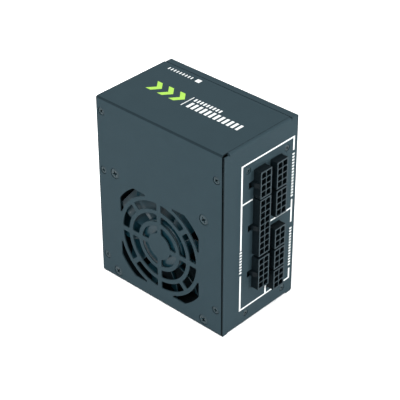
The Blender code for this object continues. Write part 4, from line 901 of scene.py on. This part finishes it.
def make_insides():
    """What stands inside the case: node, slot, look and rounding in millimetres."""
    plain = [
        ("main_board", "board_green", BOARD, 0.15),
        ("insulation_sheet", "insulation_film", FILM, 0.05),
        ("bulk_capacitor", "capacitor_sleeve", SLEEVE, 0),
        ("output_capacitor_1", "capacitor_sleeve", SLEEVE, 0),
        ("output_capacitor_2", "capacitor_sleeve", SLEEVE, 0),
        ("x_capacitor", "yellow_plastic", YELLOW, 0.3),
        ("transformer_winding", "copper", WIRE, 0.4),
        ("transformer_core", "ferrite", FERRITE, 0.4),
        ("bridge_rectifier", "ferrite", FERRITE, 0.2),
        ("power_transistor_1", "ferrite", FERRITE, 0.2),
        ("power_transistor_2", "ferrite", FERRITE, 0.2),
        ("primary_heatsink", "heatsink_aluminium", ALUMINIUM, 0.2),
        ("secondary_heatsink", "heatsink_aluminium", ALUMINIUM, 0.2),
        ("bus_bar_positive", "copper", WIRE, 0.15),
        ("bus_bar_return", "copper", WIRE, 0.15),
        ("pfc_choke", "copper", WIRE, 0),
        ("filter_choke", "copper", WIRE, 0),
    ]
    for node, slot, look, width in plain:
        refined(node, f"{node}_finished", HOUSING, slot, look, width * MM, 45)


# ---------------------------------------------------------------- print


def stroke(a0, a1, b0, b1):
    """A printed rectangle between two places along each direction, in millimetres."""
    return rectangle(((a0 + a1) / 2, (b0 + b1) / 2), a1 - a0, b1 - b0, STROKE_CORNER, 2)


def upright(middle, b0, b1):
    """An upright line of the panel's frame."""
    return stroke(middle - UPRIGHT / 2, middle + UPRIGHT / 2, b0, b1)


def printed(name, outlines, origin, u, v, look):
    """A piece of thin printed marks."""
    meshes = [slab_mesh([(a * MM, b * MM) for a, b in o], PRINT, origin, u, v) for o in outlines]
    stand_for(show(name, joined_mesh(meshes), look), HOUSING, None)


def bars(a, b, count):
    """A column of short bars, in place of a label."""
    left, right = a - BAR_WIDTH / 2, a + BAR_WIDTH / 2
    heights = [b + i * BAR_PITCH for i in range(count)]
    return [stroke(left, right, height - BAR_HEIGHT / 2, height + BAR_HEIGHT / 2) for height in heights]


def make_panel_print():
    """The frame of lines round the sockets, with short bars where labels would be."""
    left, right = FRAME_LEFT - UPRIGHT / 2, FRAME_RIGHT + UPRIGHT / 2
    inner_left, inner_right = FRAME_LEFT + UPRIGHT / 2 + JOIN, FRAME_RIGHT - UPRIGHT / 2 - JOIN
    low, high = FRAME_BOTTOM + LEVEL / 2 + JOIN, FRAME_TOP - LEVEL / 2 - JOIN
    (right_foot, right_lower), (right_upper, right_head) = RIGHT_BREAKS
    upper_end, upper_z = UPPER_BRANCH
    lower_end, lower_z = LOWER_BRANCH
    foot_left, foot_right, foot_top = FOOT_BRANCH
    lines = [
        stroke(left, right, FRAME_TOP - LEVEL / 2, FRAME_TOP + LEVEL / 2),
        stroke(left, right, FRAME_BOTTOM - LEVEL / 2, FRAME_BOTTOM + LEVEL / 2),
        upright(FRAME_LEFT, LEFT_BREAK[1], high),
        upright(FRAME_LEFT, low, LEFT_BREAK[0]),
        upright(FRAME_RIGHT, right_head, high),
        upright(FRAME_RIGHT, right_lower, right_upper),
        upright(FRAME_RIGHT, low, right_foot),
        stroke(inner_left, upper_end, upper_z, upper_z + LEVEL),
        stroke(lower_end, inner_right, lower_z, lower_z + LEVEL),
        stroke(foot_left, foot_right, low, foot_top),
    ]
    for column in BAR_COLUMNS:
        lines += bars(*column)
    printed("panel_print", lines, (SHELL_HIGH.x, 0, 0), Y, Z, WHITE)


def chevron(a):
    """An arrowhead that points along a."""
    low, high = CHEVRON_SPAN
    middle = (low + high) / 2
    front = [(a + CHEVRON_WIDTH, low), (a + CHEVRON_WIDTH + CHEVRON_REACH, middle), (a + CHEVRON_WIDTH, high)]
    return front + [(a, high), (a + CHEVRON_REACH, middle), (a, low)]


def make_top_print():
    """Generic marks on the top side: lime chevrons, rows of white bars, a line and a square."""
    start = (COVER_LOW.x, COVER_LOW.y, SKIN_TOP)
    lime = [chevron(CHEVRON_START + CHEVRON_PITCH * i) for i in range(CHEVRONS)]
    printed("lime_marks", lime, start, X, Y, LIME)
    white = [
        stroke(a0 + pitch * i, a1 + pitch * i, b0, b1)
        for a0, a1, b0, b1, pitch, count in TOP_ROWS
        for i in range(count)
    ]
    printed("white_marks", white, start, X, Y, WHITE)


# ---------------------------------------------------------------- stage


def aim(thing, target):
    """Turns a lamp or the camera towards a place."""
    thing.rotation_mode = "QUATERNION"
    thing.rotation_quaternion = (Vector(target) - thing.location).to_track_quat("-Z", "Y")


def softbox(name, place, size, power):
    """A square lamp that looks at the supply."""
    lamp = bpy.data.lights.new(name, "AREA")
    lamp.size = size
    lamp.energy = power
    made = bpy.data.objects.new(name, lamp)
    made.location = place
    aim(made, LAMP_TARGET)
    bpy.context.scene.collection.objects.link(made)


def make_stage():
    """A pale floor that glows a little, soft lamps and a white sky."""
    bm = bmesh.new()
    bmesh.ops.create_grid(bm, x_segments=1, y_segments=1, size=FLOOR_SIZE)
    floor = bpy.data.objects.new("floor", finished(bm, "floor"))
    look, _, principled = shader("pale_floor", FLOOR_COLOUR, 0.8)
    principled.inputs["Emission Color"].default_value = (1, 1, 1, 1)
    principled.inputs["Emission Strength"].default_value = FLOOR_GLOW
    floor.data.materials.append(look)
    floor.location.z = -FLOOR_DROP
    bpy.context.scene.collection.objects.link(floor)
    for name, (place, size, power) in LAMPS.items():
        softbox(name, place, size, power)
    world = bpy.data.worlds.new("studio")
    world.use_nodes = True
    background = world.node_tree.nodes["Background"]
    background.inputs["Color"].default_value = (1, 1, 1, 1)
    background.inputs["Strength"].default_value = SKY
    bpy.context.scene.world = world


def make_camera():
    """The camera, placed by its azimuth, elevation and distance from its target."""
    data = bpy.data.cameras.new("camera")
    data.lens = CAMERA_LENS
    data.sensor_width = CAMERA_SENSOR
    camera = bpy.data.objects.new("camera", data)
    flat = math.cos(CAMERA_ELEVATION)
    across, ahead = math.sin(CAMERA_AZIMUTH) * flat, math.cos(CAMERA_AZIMUTH) * flat
    away = Vector((across, -ahead, math.sin(CAMERA_ELEVATION)))
    camera.location = CAMERA_TARGET + away * CAMERA_DISTANCE
    aim(camera, CAMERA_TARGET)
    bpy.context.scene.collection.objects.link(camera)
    bpy.context.scene.camera = camera


bpy.context.scene.view_settings.view_transform = "Standard"
make_camera()
make_stage()
make_cover()
make_screws()
make_fan()
make_sockets()
make_shell()
make_mains_side()
make_rocker_marks()
make_insides()
make_panel_print()
make_top_print()
